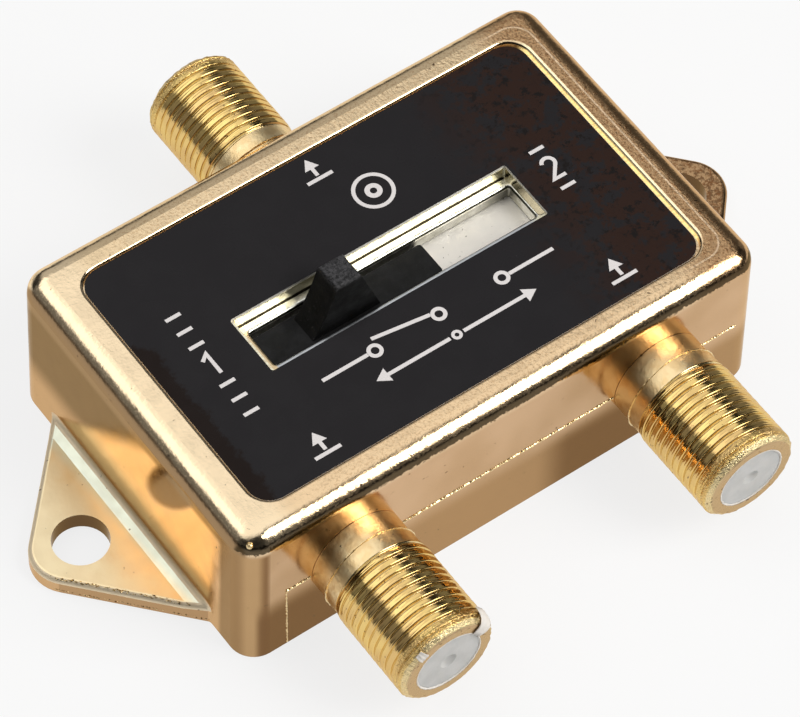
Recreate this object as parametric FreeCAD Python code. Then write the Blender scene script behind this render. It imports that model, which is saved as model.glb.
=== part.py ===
import FreeCAD, Part
import math
import os
from FreeCAD import Rotation, Vector

# Two-way coaxial antenna switch with three threaded F ports, in millimetres.
# +Z is up, +X runs along the box, the two inputs face -Y and the output faces +Y.
# The origin is the centre of the underside.

# ---- Driving dimensions -------------------------------------------------------------------

# Housing: a zinc die casting, open underneath, with ports and ears cast on
rim_length = 53.5            # outside length at the top
rim_width = 34.4             # outside width at the top
housing_height = 16.8
draft_angle = 1.0            # degrees, the side walls spread downwards
corner_radius = 2.4          # upright corners
rim_rounding = 1.95          # outer edge of the top
side_wall = 1.65             # thickness at the top
top_wall = 1.35              # between the label recess and the cavity
cavity_corner = 1.2

# Label and its recess
recess_length = 46.4
recess_width = 28.1
recess_corner = 2.2
recess_centre_x = 0.1
recess_centre_y = -0.15
recess_depth = 0.55
recess_edge_rounding = 0.28
label_thickness = 0.3
label_clearance = 0.1
label_end_gap = 0.35         # at the +X end, where the recess shows beside the label

# Window for the slider
window_length = 28.4
window_width = 6.2
window_corner = 0.25
window_centre_x = -0.05
window_centre_y = -0.15
label_window_margin = 0.05   # the label stands back this far from the window
label_window_end_gap = 0.3   # and this far at the window's -X end

# Mounting ears
ear_thickness = 1.8
ear_hole_radius = 2.55
ear_hole_centre = 32.1       # from the middle of the box
ear_tip_beyond_hole = 1.2    # the round tip's centre lies a little outside the hole
ear_tip_radius = 3.5
ear_root_half_width = 13.35
ear_edge_rounding = 0.5
ear_ramp_length = 1.3        # the ear rises a little towards the wall
ear_ramp_rise = 0.3
ear_root_fillet = 0.6

# Ports, 3/8-32 thread modelled at its major diameter
port_spacing = 31.6          # between the two inputs
port_axis_height = 8.0
port_length = 13.4           # from the rim to the mouth
port_boss_length = 2.25
port_strip_length = 1.45
port_boss_radius = 4.48
port_strip_radius = 4.56
thread_radius = 4.72
port_mouth_chamfer = 0.4
front_bore_radius = 3.25
front_bore_depth = 12.0
rear_bore_radius = 2.7

# Port insulator, contact and rear bush
insert_clearance = 0.03
insulator_setback = 0.1      # below the mouth
insulator_bore_radius = 1.3
insulator_web = 0.5          # closed skin in front of the contact
dimple_radius = 0.8
dimple_depth = 0.3
contact_outer_radius = 1.2
contact_wall = 0.25
contact_length = 8.2
contact_slot_length = 5.0
contact_slot_width = 0.5
tail_width = 1.0
tail_thickness = 0.5
tail_bend_radius = 0.8
tail_drop = 2.9              # from the inner wall to the upright leg
bush_flange_radius = 3.3
bush_flange_thickness = 0.6
bush_snout_length = 1.8
bush_slot_clearance = 0.06

# Slide switch frame: drawn and folded sheet
slide_travel = 9.5
slot_length = 27.3
slot_width = 3.95
slot_corner = 0.25
switch_offset = 0.35         # the switch sits this far towards +X in its window
sheet = 0.5
frame_length = 32.0
frame_inner_width = 9.4
frame_bend_radius = 0.5
drawn_wall = 0.35
drawn_depth = 1.4            # from the frame's top to the end of the drawn edge
frame_tab_width = 1.6
frame_tab_inset = 3.0

# Slider: knob and skirt, shutter strip and contact carrier
slider_end_gap = 0.15
skirt_side_gap = 0.25
skirt_thickness = 0.75
skirt_corner = 0.3
strip_gap = 0.1              # under the drawn edge
strip_thickness = 0.3
strip_width = 7.0
strip_overlap = 0.5
knob_top_height = 5.75       # above the skirt
knob_width = 2.8
knob_top_left = -2.25        # from the middle of the slider
knob_top_right = 0.2
knob_base_left = -4.9
knob_base_right = 2.5
knob_ramp_sag = 0.3          # the finger ramp is hollow by this much
knob_edge_rounding = 0.3
neck_length = 8.0
neck_width = 2.4
neck_clearance = 0.05
neck_depth = 1.6             # into the carrier
carrier_end_inset = 0.25     # the carrier ends this far inside the skirt
carrier_height = 2.9
carrier_side_gap = 0.3

# Moving contacts and the fixed terminals under them
row_offset = 2.6             # of each contact row from the middle
clip_thickness = 0.25
clip_width = 1.8
clip_pocket_gap = 0.2
clip_pocket_depth = 1.1
clip_bow_radius = 0.7
contact_gap = 0.05           # running clearance over the terminal heads
terminal_head_radius = 1.1
terminal_head_height = 0.3
terminal_shank_radius = 0.55
terminal_tail_width = 0.9
terminal_tail_thickness = 0.4
board_clearance = 0.05
carrier_clearance = 0.6      # over the terminal board
terminal_board_thickness = 1.2
terminal_board_length = 29.0
lug_length = 3.0
lug_inset = 5.5
lug_reach = 0.4

# Detent across the carrier
ball_radius = 0.9
ball_inset = 1.3             # from the end of the carrier
ball_gap = 0.05
detent_bore_clearance = 0.05
detent_drop = 1.2            # below the top of the carrier
detent_hole_radius = 0.7
spring_wire_radius = 0.13
spring_radius = 0.6
spring_turns = 6

# Circuit board, posts and bottom cover
board_length = 47.6
board_width = 29.0
board_thickness = 1.2
board_top = 6.6
track_thickness = 0.1
track_width = 1.4
lead_clearance = 0.12
lead_projection = 0.6        # of a lead below the board
solder_radius = 0.95
solder_tip_radius = 0.62
solder_height = 0.5
solder_pad_margin = 0.7      # the pad's width around a tab of the frame
solder_pad_corner = 0.6
post_inset = 2.7             # from the cavity's walls
post_radius = 2.0
post_neck_radius = 1.15
cover_thickness = 0.7
cover_setback = 0.1          # above the underside
cover_ledge = 0.75
cover_clearance = 0.05
cover_corner = 1.6
stake_radius = 0.75
stake_head_radius = 1.3
stake_head_height = 0.35

# ---- Derived places -----------------------------------------------------------------------

draft = math.tan(math.radians(draft_angle))
half_length = rim_length / 2
half_width = rim_width / 2
cavity_half_length = half_length - side_wall
cavity_half_width = half_width - side_wall
recess_floor = housing_height - recess_depth
cavity_top = recess_floor - top_wall
ear_tip_centre = ear_hole_centre + ear_tip_beyond_hole
ramp_start = half_length + draft * (housing_height - ear_thickness) + ear_ramp_length
port_end = half_width + port_length
boss_end = half_width + port_boss_length
strip_end = boss_end + port_strip_length
bore_shoulder = port_end - front_bore_depth
slot_left = switch_offset - slot_length / 2
slot_right = switch_offset + slot_length / 2
frame_top = cavity_top
drawn_edge = frame_top - drawn_depth
strip_top = drawn_edge - strip_gap
skirt_top = strip_top + skirt_thickness
slider_centre = switch_offset - slide_travel / 2
skirt_length = slot_length - slide_travel - 2 * slider_end_gap
skirt_width = slot_width - 2 * skirt_side_gap
carrier_length = skirt_length - 2 * carrier_end_inset
ball_offset = carrier_length / 2 - ball_inset
carrier_top = strip_top - strip_thickness
carrier_bottom = carrier_top - carrier_height
terminal_board_top = carrier_bottom - carrier_clearance
terminal_board_bottom = terminal_board_top - terminal_board_thickness
head_top = terminal_board_top + terminal_head_height
clip_top = carrier_bottom + clip_pocket_depth
clip_bottom = head_top + contact_gap
ball_height = carrier_top - detent_drop
board_bottom = board_top - board_thickness
lead_end = board_bottom - lead_projection
tail_leg = cavity_half_width - tail_drop
post_places = [(sx * (cavity_half_length - post_inset), sy * (cavity_half_width - post_inset))
               for sx in (-1, 1) for sy in (-1, 1)]
ports = {"in_1": (-port_spacing / 2, -1), "in_2": (port_spacing / 2, -1), "out": (0.0, 1)}
terminal_places = [(switch_offset + column * slide_travel, row * row_offset)
                   for row in (-1, 1) for column in (-1, 0, 1)]
tab_places = [(switch_offset + sx * (frame_length / 2 - frame_tab_inset),
               sy * (frame_inner_width + sheet) / 2) for sx in (-1, 1) for sy in (-1, 1)]


# ---- Shape helpers ------------------------------------------------------------------------

anywhere = (-math.inf, math.inf)


def block(x0, x1, y0, y1, z0, z1):
    return Part.makeBox(x1 - x0, y1 - y0, z1 - z0, Vector(x0, y0, z0))


def centred_block(x, y, length, width, z0, z1):
    return block(x - length / 2, x + length / 2, y - width / 2, y + width / 2, z0, z1)


def upright_cylinder(x, y, radius, z0, z1):
    return Part.makeCylinder(radius, z1 - z0, Vector(x, y, z0))


def rounded_rectangle(length, width, radius, z, x=0.0, y=0.0):
    """A closed wire with arcs at its four corners."""
    a, b = length / 2, width / 2
    k = radius * (1 - math.sqrt(0.5))
    corners = [(a, b), (-a, b), (-a, -b), (a, -b)]
    edges = []
    for i, (cx, cy) in enumerate(corners):
        sx, sy = math.copysign(1, cx), math.copysign(1, cy)
        on_side = Vector(x + cx, y + cy - sy * radius, z)
        on_end = Vector(x + cx - sx * radius, y + cy, z)
        middle = Vector(x + cx - sx * k, y + cy - sy * k, z)
        first, last = (on_side, on_end) if i % 2 == 0 else (on_end, on_side)
        edges.append((first, middle, last))
    wire = []
    for i, (first, middle, last) in enumerate(edges):
        wire.append(Part.Arc(first, middle, last).toShape())
        wire.append(Part.LineSegment(last, edges[(i + 1) % 4][0]).toShape())
    return Part.Wire(wire)


def rounded_plate(length, width, radius, z0, z1, x=0.0, y=0.0):
    face = Part.Face(rounded_rectangle(length, width, radius, z0, x, y))
    return face.extrude(Vector(0, 0, z1 - z0))


def revolved(profile):
    """Turn (distance along +Y, radius) points into a solid about the Y axis."""
    points = [Vector(radius, along, 0) for along, radius in profile]
    wire = Part.makePolygon(points + [points[0]])
    return Part.Face(wire).revolve(Vector(0, 0, 0), Vector(0, 1, 0), 360)


def at_port(shape, port):
    """Place a shape made along +Y about the origin's axis on one of the ports."""
    x, side = ports[port]
    placed = shape.copy()
    if side < 0:
        placed.rotate(Vector(0, 0, 0), Vector(0, 0, 1), 180)
    placed.translate(Vector(x, 0, port_axis_height))
    return placed


def edges_in(shape, x=anywhere, y=anywhere, z=anywhere, slack=0.02):
    """Edges that lie wholly within a box."""
    found = []
    for edge in shape.Edges:
        box = edge.BoundBox
        if (box.XMin > x[0] - slack and box.XMax < x[1] + slack
                and box.YMin > y[0] - slack and box.YMax < y[1] + slack
                and box.ZMin > z[0] - slack and box.ZMax < z[1] + slack):
            found.append(edge)
    return found


def ribbon(points, width, z0, z1):
    """A flat strip along a path of straight runs, with round ends and bends."""
    pieces = []
    for (xa, ya), (xb, yb) in zip(points, points[1:]):
        run = math.hypot(xb - xa, yb - ya)
        strip = block(0, run, -width / 2, width / 2, z0, z1)
        strip.rotate(Vector(0, 0, 0), Vector(0, 0, 1), math.degrees(math.atan2(yb - ya, xb - xa)))
        strip.translate(Vector(xa, ya, 0))
        pieces.append(strip)
    pieces += [upright_cylinder(x, y, width / 2, z0, z1) for x, y in points]
    return pieces[0].multiFuse(pieces[1:]).removeSplitter()


def sheet_profile(outline, thickness, width, depth_axis):
    """Extrude a closed outline evenly to both sides along an axis."""
    face = Part.Face(outline)
    solid = face.extrude(depth_axis * width)
    solid.translate(depth_axis * (-width / 2))
    return solid


# ---- Housing ------------------------------------------------------------------------------

def outer_body():
    spread = 2 * draft * housing_height
    bottom = rounded_rectangle(rim_length + spread, rim_width + spread, corner_radius, 0)
    top = rounded_rectangle(rim_length, rim_width, corner_radius, housing_height)
    body = Part.makeLoft([bottom, top], True, True)
    rim = edges_in(body, z=(housing_height, housing_height))
    return body.makeFillet(rim_rounding, rim)


def ear(side):
    """A triangular ear with a round tip, rising in a low ramp at the wall."""
    root_x = half_length - side_wall / 2
    dx = ear_tip_centre - root_x
    reach = math.hypot(dx, ear_root_half_width)
    angle = math.asin(ear_tip_radius / reach) + math.atan2(dx, ear_root_half_width)
    run = math.sqrt(reach ** 2 - ear_tip_radius ** 2)
    tangent = (root_x + run * math.sin(angle), ear_root_half_width - run * math.cos(angle))
    tip = ear_tip_centre + ear_tip_radius
    a = Vector(root_x, ear_root_half_width, 0)
    b = Vector(tangent[0], tangent[1], 0)
    c = Vector(tangent[0], -tangent[1], 0)
    d = Vector(root_x, -ear_root_half_width, 0)
    outline = Part.Wire([
        Part.LineSegment(a, b).toShape(),
        Part.Arc(b, Vector(tip, 0, 0), c).toShape(),
        Part.LineSegment(c, d).toShape(),
        Part.LineSegment(d, a).toShape(),
    ])
    root_top = ear_thickness + ear_ramp_rise * (ramp_start - root_x) / ear_ramp_length
    profile = [(root_x, 0), (tip, 0), (tip, ear_thickness), (ramp_start, ear_thickness),
               (root_x, root_top), (root_x, 0)]
    side_view = Part.Face(Part.makePolygon([Vector(x, -ear_root_half_width, z) for x, z in profile]))
    plate = side_view.extrude(Vector(0, 2 * ear_root_half_width, 0))
    plate = plate.common(Part.Face(outline).extrude(Vector(0, 0, root_top)))
    plate = plate.makeFillet(ear_edge_rounding, [
        edge for edge in edges_in(plate, z=(ear_thickness, root_top))
        if edge.BoundBox.XLength > ear_edge_rounding])
    plate = plate.cut(upright_cylinder(ear_hole_centre, 0, ear_hole_radius, -1, ear_thickness + 1))
    if side < 0:
        plate.rotate(Vector(0, 0, 0), Vector(0, 0, 1), 180)
    return plate


def barrel():
    """Boss, plain strip and threaded length of a port, along +Y."""
    start = cavity_half_width + side_wall / 2
    return revolved([
        (start, 0), (start, port_boss_radius), (boss_end, port_boss_radius),
        (boss_end, port_strip_radius), (strip_end, port_strip_radius),
        (strip_end, thread_radius), (port_end - port_mouth_chamfer, thread_radius),
        (port_end, thread_radius - port_mouth_chamfer), (port_end, 0),
    ])


def port_bore():
    inside = cavity_half_width - 1
    return revolved([
        (inside, 0), (inside, rear_bore_radius), (bore_shoulder, rear_bore_radius),
        (bore_shoulder, front_bore_radius), (port_end + 1, front_bore_radius), (port_end + 1, 0),
    ])


def post(x, y):
    """A cast post: shoulder for the board, neck, and stake for the cover."""
    cover_top = cover_setback + cover_thickness
    head_base = cover_setback + stake_head_height
    pieces = [
        upright_cylinder(x, y, post_radius, board_top, cavity_top + 0.2),
        upright_cylinder(x, y, post_neck_radius, cover_top, board_top),
        upright_cylinder(x, y, stake_radius, cover_setback, cover_top),
        Part.makeCone(stake_head_radius, stake_radius, head_base - cover_setback,
                      Vector(x, y, cover_setback)),
    ]
    return pieces[0].multiFuse(pieces[1:])


def ear_junctions(shape):
    near, far = half_length - 0.1, half_length + draft * housing_height + 0.05
    z = (ear_thickness + ear_ramp_rise - 0.05, ear_thickness + ear_ramp_rise + 0.05)
    y = (-ear_root_half_width - 0.5, ear_root_half_width + 0.5)
    return (edges_in(shape, (near, far), y, z) + edges_in(shape, (-far, -near), y, z))


def housing():
    body = outer_body()
    body = body.multiFuse([ear(1), ear(-1)] + [at_port(barrel(), port) for port in ports])
    body = body.makeFillet(ear_root_fillet, ear_junctions(body))
    cavity = rounded_plate(2 * cavity_half_length, 2 * cavity_half_width, cavity_corner,
                           -1, cavity_top)
    rebate = rounded_plate(2 * (cavity_half_length + cover_ledge),
                           2 * (cavity_half_width + cover_ledge), cover_corner,
                           -1, cover_setback + cover_thickness)
    recess = rounded_plate(recess_length, recess_width, recess_corner, recess_floor,
                           housing_height + 1, recess_centre_x, recess_centre_y)
    window = rounded_plate(window_length, window_width, window_corner, cavity_top - 1,
                           housing_height, window_centre_x, window_centre_y)
    body = body.cut(recess)
    inner_rim = edges_in(
        body, (recess_centre_x - recess_length / 2, recess_centre_x + recess_length / 2),
        (recess_centre_y - recess_width / 2, recess_centre_y + recess_width / 2),
        (housing_height, housing_height))
    body = body.makeFillet(recess_edge_rounding, inner_rim)
    body = body.cut(cavity.multiFuse([rebate, window] + [at_port(port_bore(), p) for p in ports]))
    return body.multiFuse([post(x, y) for x, y in post_places]).removeSplitter()


def face_label():
    top = recess_floor + label_thickness
    plate = rounded_plate(recess_length - label_clearance - label_end_gap,
                          recess_width - 2 * label_clearance, recess_corner - label_clearance,
                          recess_floor, top,
                          recess_centre_x + (label_clearance - label_end_gap) / 2, recess_centre_y)
    opening = rounded_plate(window_length + label_window_margin + label_window_end_gap,
                            window_width + 2 * label_window_margin, window_corner,
                            recess_floor - 1, top + 1,
                            window_centre_x + (label_window_margin - label_window_end_gap) / 2,
                            window_centre_y)
    return plate.cut(opening)


def bottom_cover():
    top = cover_setback + cover_thickness
    plate = rounded_plate(2 * (cavity_half_length + cover_ledge - cover_clearance),
                          2 * (cavity_half_width + cover_ledge - cover_clearance),
                          cover_corner - cover_clearance, cover_setback, top)
    holes = []
    for x, y in post_places:
        holes.append(upright_cylinder(x, y, stake_radius + cover_clearance, 0, top + 1))
        holes.append(Part.makeCone(stake_head_radius + 2 * cover_clearance,
                                   stake_radius + 2 * cover_clearance, stake_head_height,
                                   Vector(x, y, cover_setback)))
    return plate.cut(holes[0].multiFuse(holes[1:]))


# ---- Ports --------------------------------------------------------------------------------

def insulator():
    """White insert with a closed, dimpled face and a blind bore for the contact."""
    radius = front_bore_radius - insert_clearance
    face = port_end - insulator_setback
    bore_end = face - dimple_depth - insulator_web
    body = revolved([
        (bore_shoulder, insulator_bore_radius), (bore_shoulder, radius), (face, radius),
        (face, 0), (bore_end, 0), (bore_end, insulator_bore_radius),
    ])
    bowl_radius = (dimple_radius ** 2 + dimple_depth ** 2) / (2 * dimple_depth)
    bowl = Part.makeSphere(bowl_radius, Vector(0, face - dimple_depth + bowl_radius, 0))
    return body.cut(bowl)


def contact_back():
    return bore_shoulder + bush_snout_length


def tail():
    """Flat tail of a contact: back through the bush, round a bend and down to the board."""
    t = tail_thickness / 2
    r = tail_bend_radius
    s = math.sqrt(0.5)
    down = lead_end - port_axis_height
    inner, outer = r - t, r + t
    centre = Vector(0, tail_leg + r, -r)
    start = contact_back()

    def on_bend(radius):
        return centre + Vector(0, -radius * s, radius * s)
    upper_start, upper_end = Vector(0, start, t), Vector(0, tail_leg + r, t)
    lower_start, lower_end = Vector(0, start, -t), Vector(0, tail_leg + r, -t)
    outer_leg, inner_leg = Vector(0, tail_leg - t, -r), Vector(0, tail_leg + t, -r)
    outer_foot, inner_foot = Vector(0, tail_leg - t, down), Vector(0, tail_leg + t, down)
    outline = Part.Wire([
        Part.LineSegment(upper_start, upper_end).toShape(),
        Part.Arc(upper_end, on_bend(outer), outer_leg).toShape(),
        Part.LineSegment(outer_leg, outer_foot).toShape(),
        Part.LineSegment(outer_foot, inner_foot).toShape(),
        Part.LineSegment(inner_foot, inner_leg).toShape(),
        Part.Arc(inner_leg, on_bend(inner), lower_end).toShape(),
        Part.LineSegment(lower_end, lower_start).toShape(),
        Part.LineSegment(lower_start, upper_start).toShape(),
    ])
    return sheet_profile(outline, tail_thickness, tail_width, Vector(1, 0, 0))


def contact():
    """Split spring socket for the plug's centre wire, with its flat tail."""
    back = contact_back()
    mouth = back + contact_length
    inner = contact_outer_radius - contact_wall
    socket = revolved([
        (back, 0), (back, contact_outer_radius), (mouth, contact_outer_radius),
        (mouth, inner), (back + contact_wall, inner), (back + contact_wall, 0),
    ])
    slot = block(-contact_slot_width / 2, contact_slot_width / 2, mouth - contact_slot_length,
                 mouth + 1, -contact_outer_radius - 1, contact_outer_radius + 1)
    return socket.cut(slot).fuse(tail()).removeSplitter()


def rear_bush():
    """Flanged bush that closes the bore from inside and centres the contact."""
    inner_wall = cavity_half_width
    body = revolved([
        (inner_wall - bush_flange_thickness, 0),
        (inner_wall - bush_flange_thickness, bush_flange_radius),
        (inner_wall, bush_flange_radius),
        (inner_wall, rear_bore_radius - insert_clearance),
        (bore_shoulder, rear_bore_radius - insert_clearance),
        (bore_shoulder, insulator_bore_radius - insert_clearance),
        (contact_back(), insulator_bore_radius - insert_clearance),
        (contact_back(), 0),
    ])
    half = tail_width / 2 + bush_slot_clearance
    t = tail_thickness / 2 + bush_slot_clearance
    return body.cut(block(-half, half, 0, port_end, -t, t))


# ---- Slide switch: fixed pieces -----------------------------------------------------------

def switch_frame():
    """Folded sheet with a drawn slot, side skirts, detent holes and soldering tabs."""
    outer = frame_inner_width / 2 + sheet
    channel = block(switch_offset - frame_length / 2, switch_offset + frame_length / 2,
                    -outer, outer, board_top, frame_top)
    bends = [edge for edge in edges_in(channel, z=(frame_top, frame_top))
             if edge.BoundBox.XLength > frame_length / 2]
    channel = channel.makeFillet(frame_bend_radius, bends)
    inside = block(switch_offset - frame_length, switch_offset + frame_length,
                   -frame_inner_width / 2, frame_inner_width / 2, 0,
                   frame_top - sheet)
    channel = channel.cut(inside)
    drawn = rounded_plate(slot_length + 2 * drawn_wall, slot_width + 2 * drawn_wall,
                          slot_corner + drawn_wall, drawn_edge, frame_top - sheet / 2,
                          x=switch_offset)
    slot = rounded_plate(slot_length, slot_width, slot_corner, drawn_edge - 1, frame_top + 1,
                         x=switch_offset)
    frame = channel.fuse(drawn).cut(slot)
    slot_rim = edges_in(frame, (slot_left, slot_right), (-slot_width / 2, slot_width / 2),
                        (frame_top, frame_top))
    frame = frame.makeFillet(drawn_wall * 0.8, slot_rim)
    cuts = []
    for x in (slider_centre + ball_offset, slider_centre + ball_offset + slide_travel):
        cuts.append(Part.makeCylinder(detent_hole_radius, 4 * outer, Vector(x, -2 * outer, ball_height),
                                      Vector(0, 1, 0)))
    for sx in (-1, 1):
        x = switch_offset + sx * (terminal_board_length / 2 - lug_inset)
        length = lug_length + 2 * board_clearance
        cuts.append(centred_block(x, 0, length, 4 * outer, terminal_board_bottom - board_clearance,
                                  terminal_board_top + board_clearance))
    frame = frame.cut(cuts[0].multiFuse(cuts[1:]))
    tabs = [centred_block(x, y, frame_tab_width, sheet, lead_end, board_top + 1)
            for x, y in tab_places]
    return frame.multiFuse(tabs).removeSplitter()


def terminal_board():
    """Phenolic board with lugs that pass through the frame's skirts."""
    width = frame_inner_width - 2 * board_clearance
    board = centred_block(switch_offset, 0, terminal_board_length, width, terminal_board_bottom,
                          terminal_board_top)
    reach = frame_inner_width + 2 * (sheet + lug_reach)
    lugs = [centred_block(switch_offset + sx * (terminal_board_length / 2 - lug_inset), 0,
                          lug_length, reach, terminal_board_bottom, terminal_board_top)
            for sx in (-1, 1)]
    board = board.multiFuse(lugs)
    holes = [upright_cylinder(x, y, terminal_shank_radius + board_clearance,
                              terminal_board_bottom - 1, terminal_board_top + 1)
             for x, y in terminal_places]
    return board.cut(holes[0].multiFuse(holes[1:])).removeSplitter()


def fixed_terminals():
    """Six riveted contacts: domed head, shank through the board, flat solder tail."""
    terminals = []
    for x, y in terminal_places:
        head = upright_cylinder(x, y, terminal_head_radius, terminal_board_top, head_top)
        head = head.makeFillet(terminal_head_height * 0.6, edges_in(head, z=(head_top, head_top)))
        shank = upright_cylinder(x, y, terminal_shank_radius, terminal_board_bottom - 0.3,
                                 terminal_board_top)
        lug = centred_block(x, y, terminal_tail_width, terminal_tail_thickness, lead_end,
                            terminal_board_bottom)
        terminals.append(head.multiFuse([shank, lug]).removeSplitter())
    return Part.makeCompound(terminals)


def lead_holes(z0, z1):
    """Clearance holes for everything that is soldered into the board."""
    radius = math.hypot(terminal_tail_width, terminal_tail_thickness) / 2 + lead_clearance
    holes = [upright_cylinder(x, y, radius, z0, z1) for x, y in terminal_places]
    radius = math.hypot(tail_width, tail_thickness) / 2 + lead_clearance
    for port in ports:
        x, side = ports[port]
        holes.append(upright_cylinder(x, side * tail_leg, radius, z0, z1))
    for x, y in tab_places:
        holes.append(centred_block(x, y, frame_tab_width + 2 * lead_clearance,
                                   sheet + 2 * lead_clearance, z0, z1))
    return holes


def circuit_board():
    board = rounded_plate(board_length, board_width, 1.0, board_bottom, board_top)
    holes = lead_holes(board_bottom - 1, board_top + 1)
    holes += [upright_cylinder(x, y, post_neck_radius + lead_clearance, board_bottom - 1,
                               board_top + 1) for x, y in post_places]
    return board.cut(holes[0].multiFuse(holes[1:]))


def circuit_tracks():
    """Copper under the board: three signal tracks and the earth track."""
    z0, z1 = board_bottom - track_thickness, board_bottom
    left, middle, right = [x for x, y in terminal_places[:3]]
    port_left, port_right = -port_spacing / 2, port_spacing / 2
    step = track_width * 1.6
    tracks = [
        ribbon([(port_left, -tail_leg), (port_left, -row_offset - step), (left, -row_offset)],
               track_width, z0, z1),
        ribbon([(port_right, -tail_leg), (port_right, -row_offset - step), (right, -row_offset)],
               track_width, z0, z1),
        ribbon([(0, tail_leg), (middle + step * 1.5, row_offset + step),
                (middle + step * 1.5, -row_offset + step / 2), (middle, -row_offset)],
               track_width, z0, z1),
    ]
    earth = [(left, row_offset), (left, row_offset + 2 * step), (middle, row_offset)]
    tracks.append(ribbon(earth, track_width, z0, z1))
    tabs_left = [(x, y) for x, y in tab_places if x < switch_offset]
    tracks.append(ribbon(tabs_left, track_width, z0, z1))
    holes = lead_holes(z0 - 1, z1 + 1)
    cutter = holes[0].multiFuse(holes[1:])
    return Part.makeCompound([track.cut(cutter) for track in tracks])


def solder_joints():
    """A fillet of solder round each lead under the board."""
    top = board_bottom - track_thickness
    joints = []
    leads = [(x, y, terminal_tail_width, terminal_tail_thickness) for x, y in terminal_places]
    leads += [(x, side * tail_leg, tail_width, tail_thickness) for x, side in ports.values()]
    for x, y, length, width in leads:
        cone = Part.makeCone(solder_tip_radius, solder_radius, solder_height,
                             Vector(x, y, top - solder_height))
        joints.append(cone.cut(centred_block(x, y, length, width, 0, board_top)))
    for x, y in tab_places:
        pad = rounded_plate(frame_tab_width + 2 * solder_pad_margin, sheet + 2 * solder_pad_margin,
                            solder_pad_corner, top - solder_height, top, x, y)
        joints.append(pad.cut(centred_block(x, y, frame_tab_width, sheet, 0, board_top)))
    return Part.makeCompound(joints)


# ---- Slide switch: moving pieces ----------------------------------------------------------

def knob():
    """Wedge-shaped finger grip with a hollow ramp on its left side."""
    base = skirt_top - skirt_thickness / 2
    top = skirt_top + knob_top_height
    x = slider_centre
    base_left = Vector(x + knob_base_left, 0, base)
    top_left = Vector(x + knob_top_left, 0, top)
    top_right = Vector(x + knob_top_right, 0, top)
    base_right = Vector(x + knob_base_right, 0, base)
    run = top_left - base_left
    outward = Vector(-run.z, 0, run.x).normalize()
    ramp_middle = (base_left + top_left) * 0.5 - outward * knob_ramp_sag
    outline = Part.Wire([
        Part.Arc(base_left, ramp_middle, top_left).toShape(),
        Part.LineSegment(top_left, top_right).toShape(),
        Part.LineSegment(top_right, base_right).toShape(),
        Part.LineSegment(base_right, base_left).toShape(),
    ])
    solid = sheet_profile(outline, 0, knob_width, Vector(0, 1, 0))
    return solid.makeFillet(knob_edge_rounding, edges_in(solid, z=(top, top)))


def slider_knob():
    """Skirt, finger grip and the neck that plugs into the carrier."""
    skirt = rounded_plate(skirt_length, skirt_width, skirt_corner, strip_top, skirt_top,
                          x=slider_centre)
    neck = rounded_plate(neck_length, neck_width, 0.4, carrier_top - neck_depth, strip_top,
                         x=slider_centre)
    return skirt.multiFuse([knob(), neck]).removeSplitter()


def neck_hole(z0, z1):
    return rounded_plate(neck_length + 2 * neck_clearance, neck_width + 2 * neck_clearance, 0.4,
                         z0, z1, x=slider_centre)


def shutter_strip():
    """Bright strip that rides with the slider and closes the slot beside it."""
    left = slot_left - slide_travel - strip_overlap
    right = slot_right + strip_overlap
    strip = rounded_plate(right - left, strip_width, 0.8, carrier_top, strip_top,
                          x=(left + right) / 2)
    return strip.cut(neck_hole(carrier_top - 1, strip_top + 1))


def contact_carrier():
    """Insulating block with the neck's pocket, the clips' pockets and the detent bore."""
    width = frame_inner_width - 2 * carrier_side_gap
    body = centred_block(slider_centre, 0, carrier_length, width, carrier_bottom, carrier_top)
    upright = [edge for edge in body.Edges if edge.BoundBox.ZLength > carrier_height / 2]
    body = body.makeFillet(0.5, upright)
    cuts = [neck_hole(carrier_top - neck_depth - 0.1, carrier_top + 1)]
    for side in (-1, 1):
        cuts.append(centred_block(slider_centre, side * row_offset, clip_span(),
                                  clip_width + 2 * clip_pocket_gap, carrier_bottom - 1, clip_top))
    cuts.append(Part.makeCylinder(ball_radius + detent_bore_clearance, 2 * width,
                                  Vector(slider_centre + ball_offset, -width, ball_height),
                                  Vector(0, 1, 0)))
    return body.cut(cuts[0].multiFuse(cuts[1:]))


def clip_span():
    """Length of the pocket that a bridging clip needs."""
    return slide_travel + 2 * (clip_bow_radius + clip_pocket_gap + clip_thickness)


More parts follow.
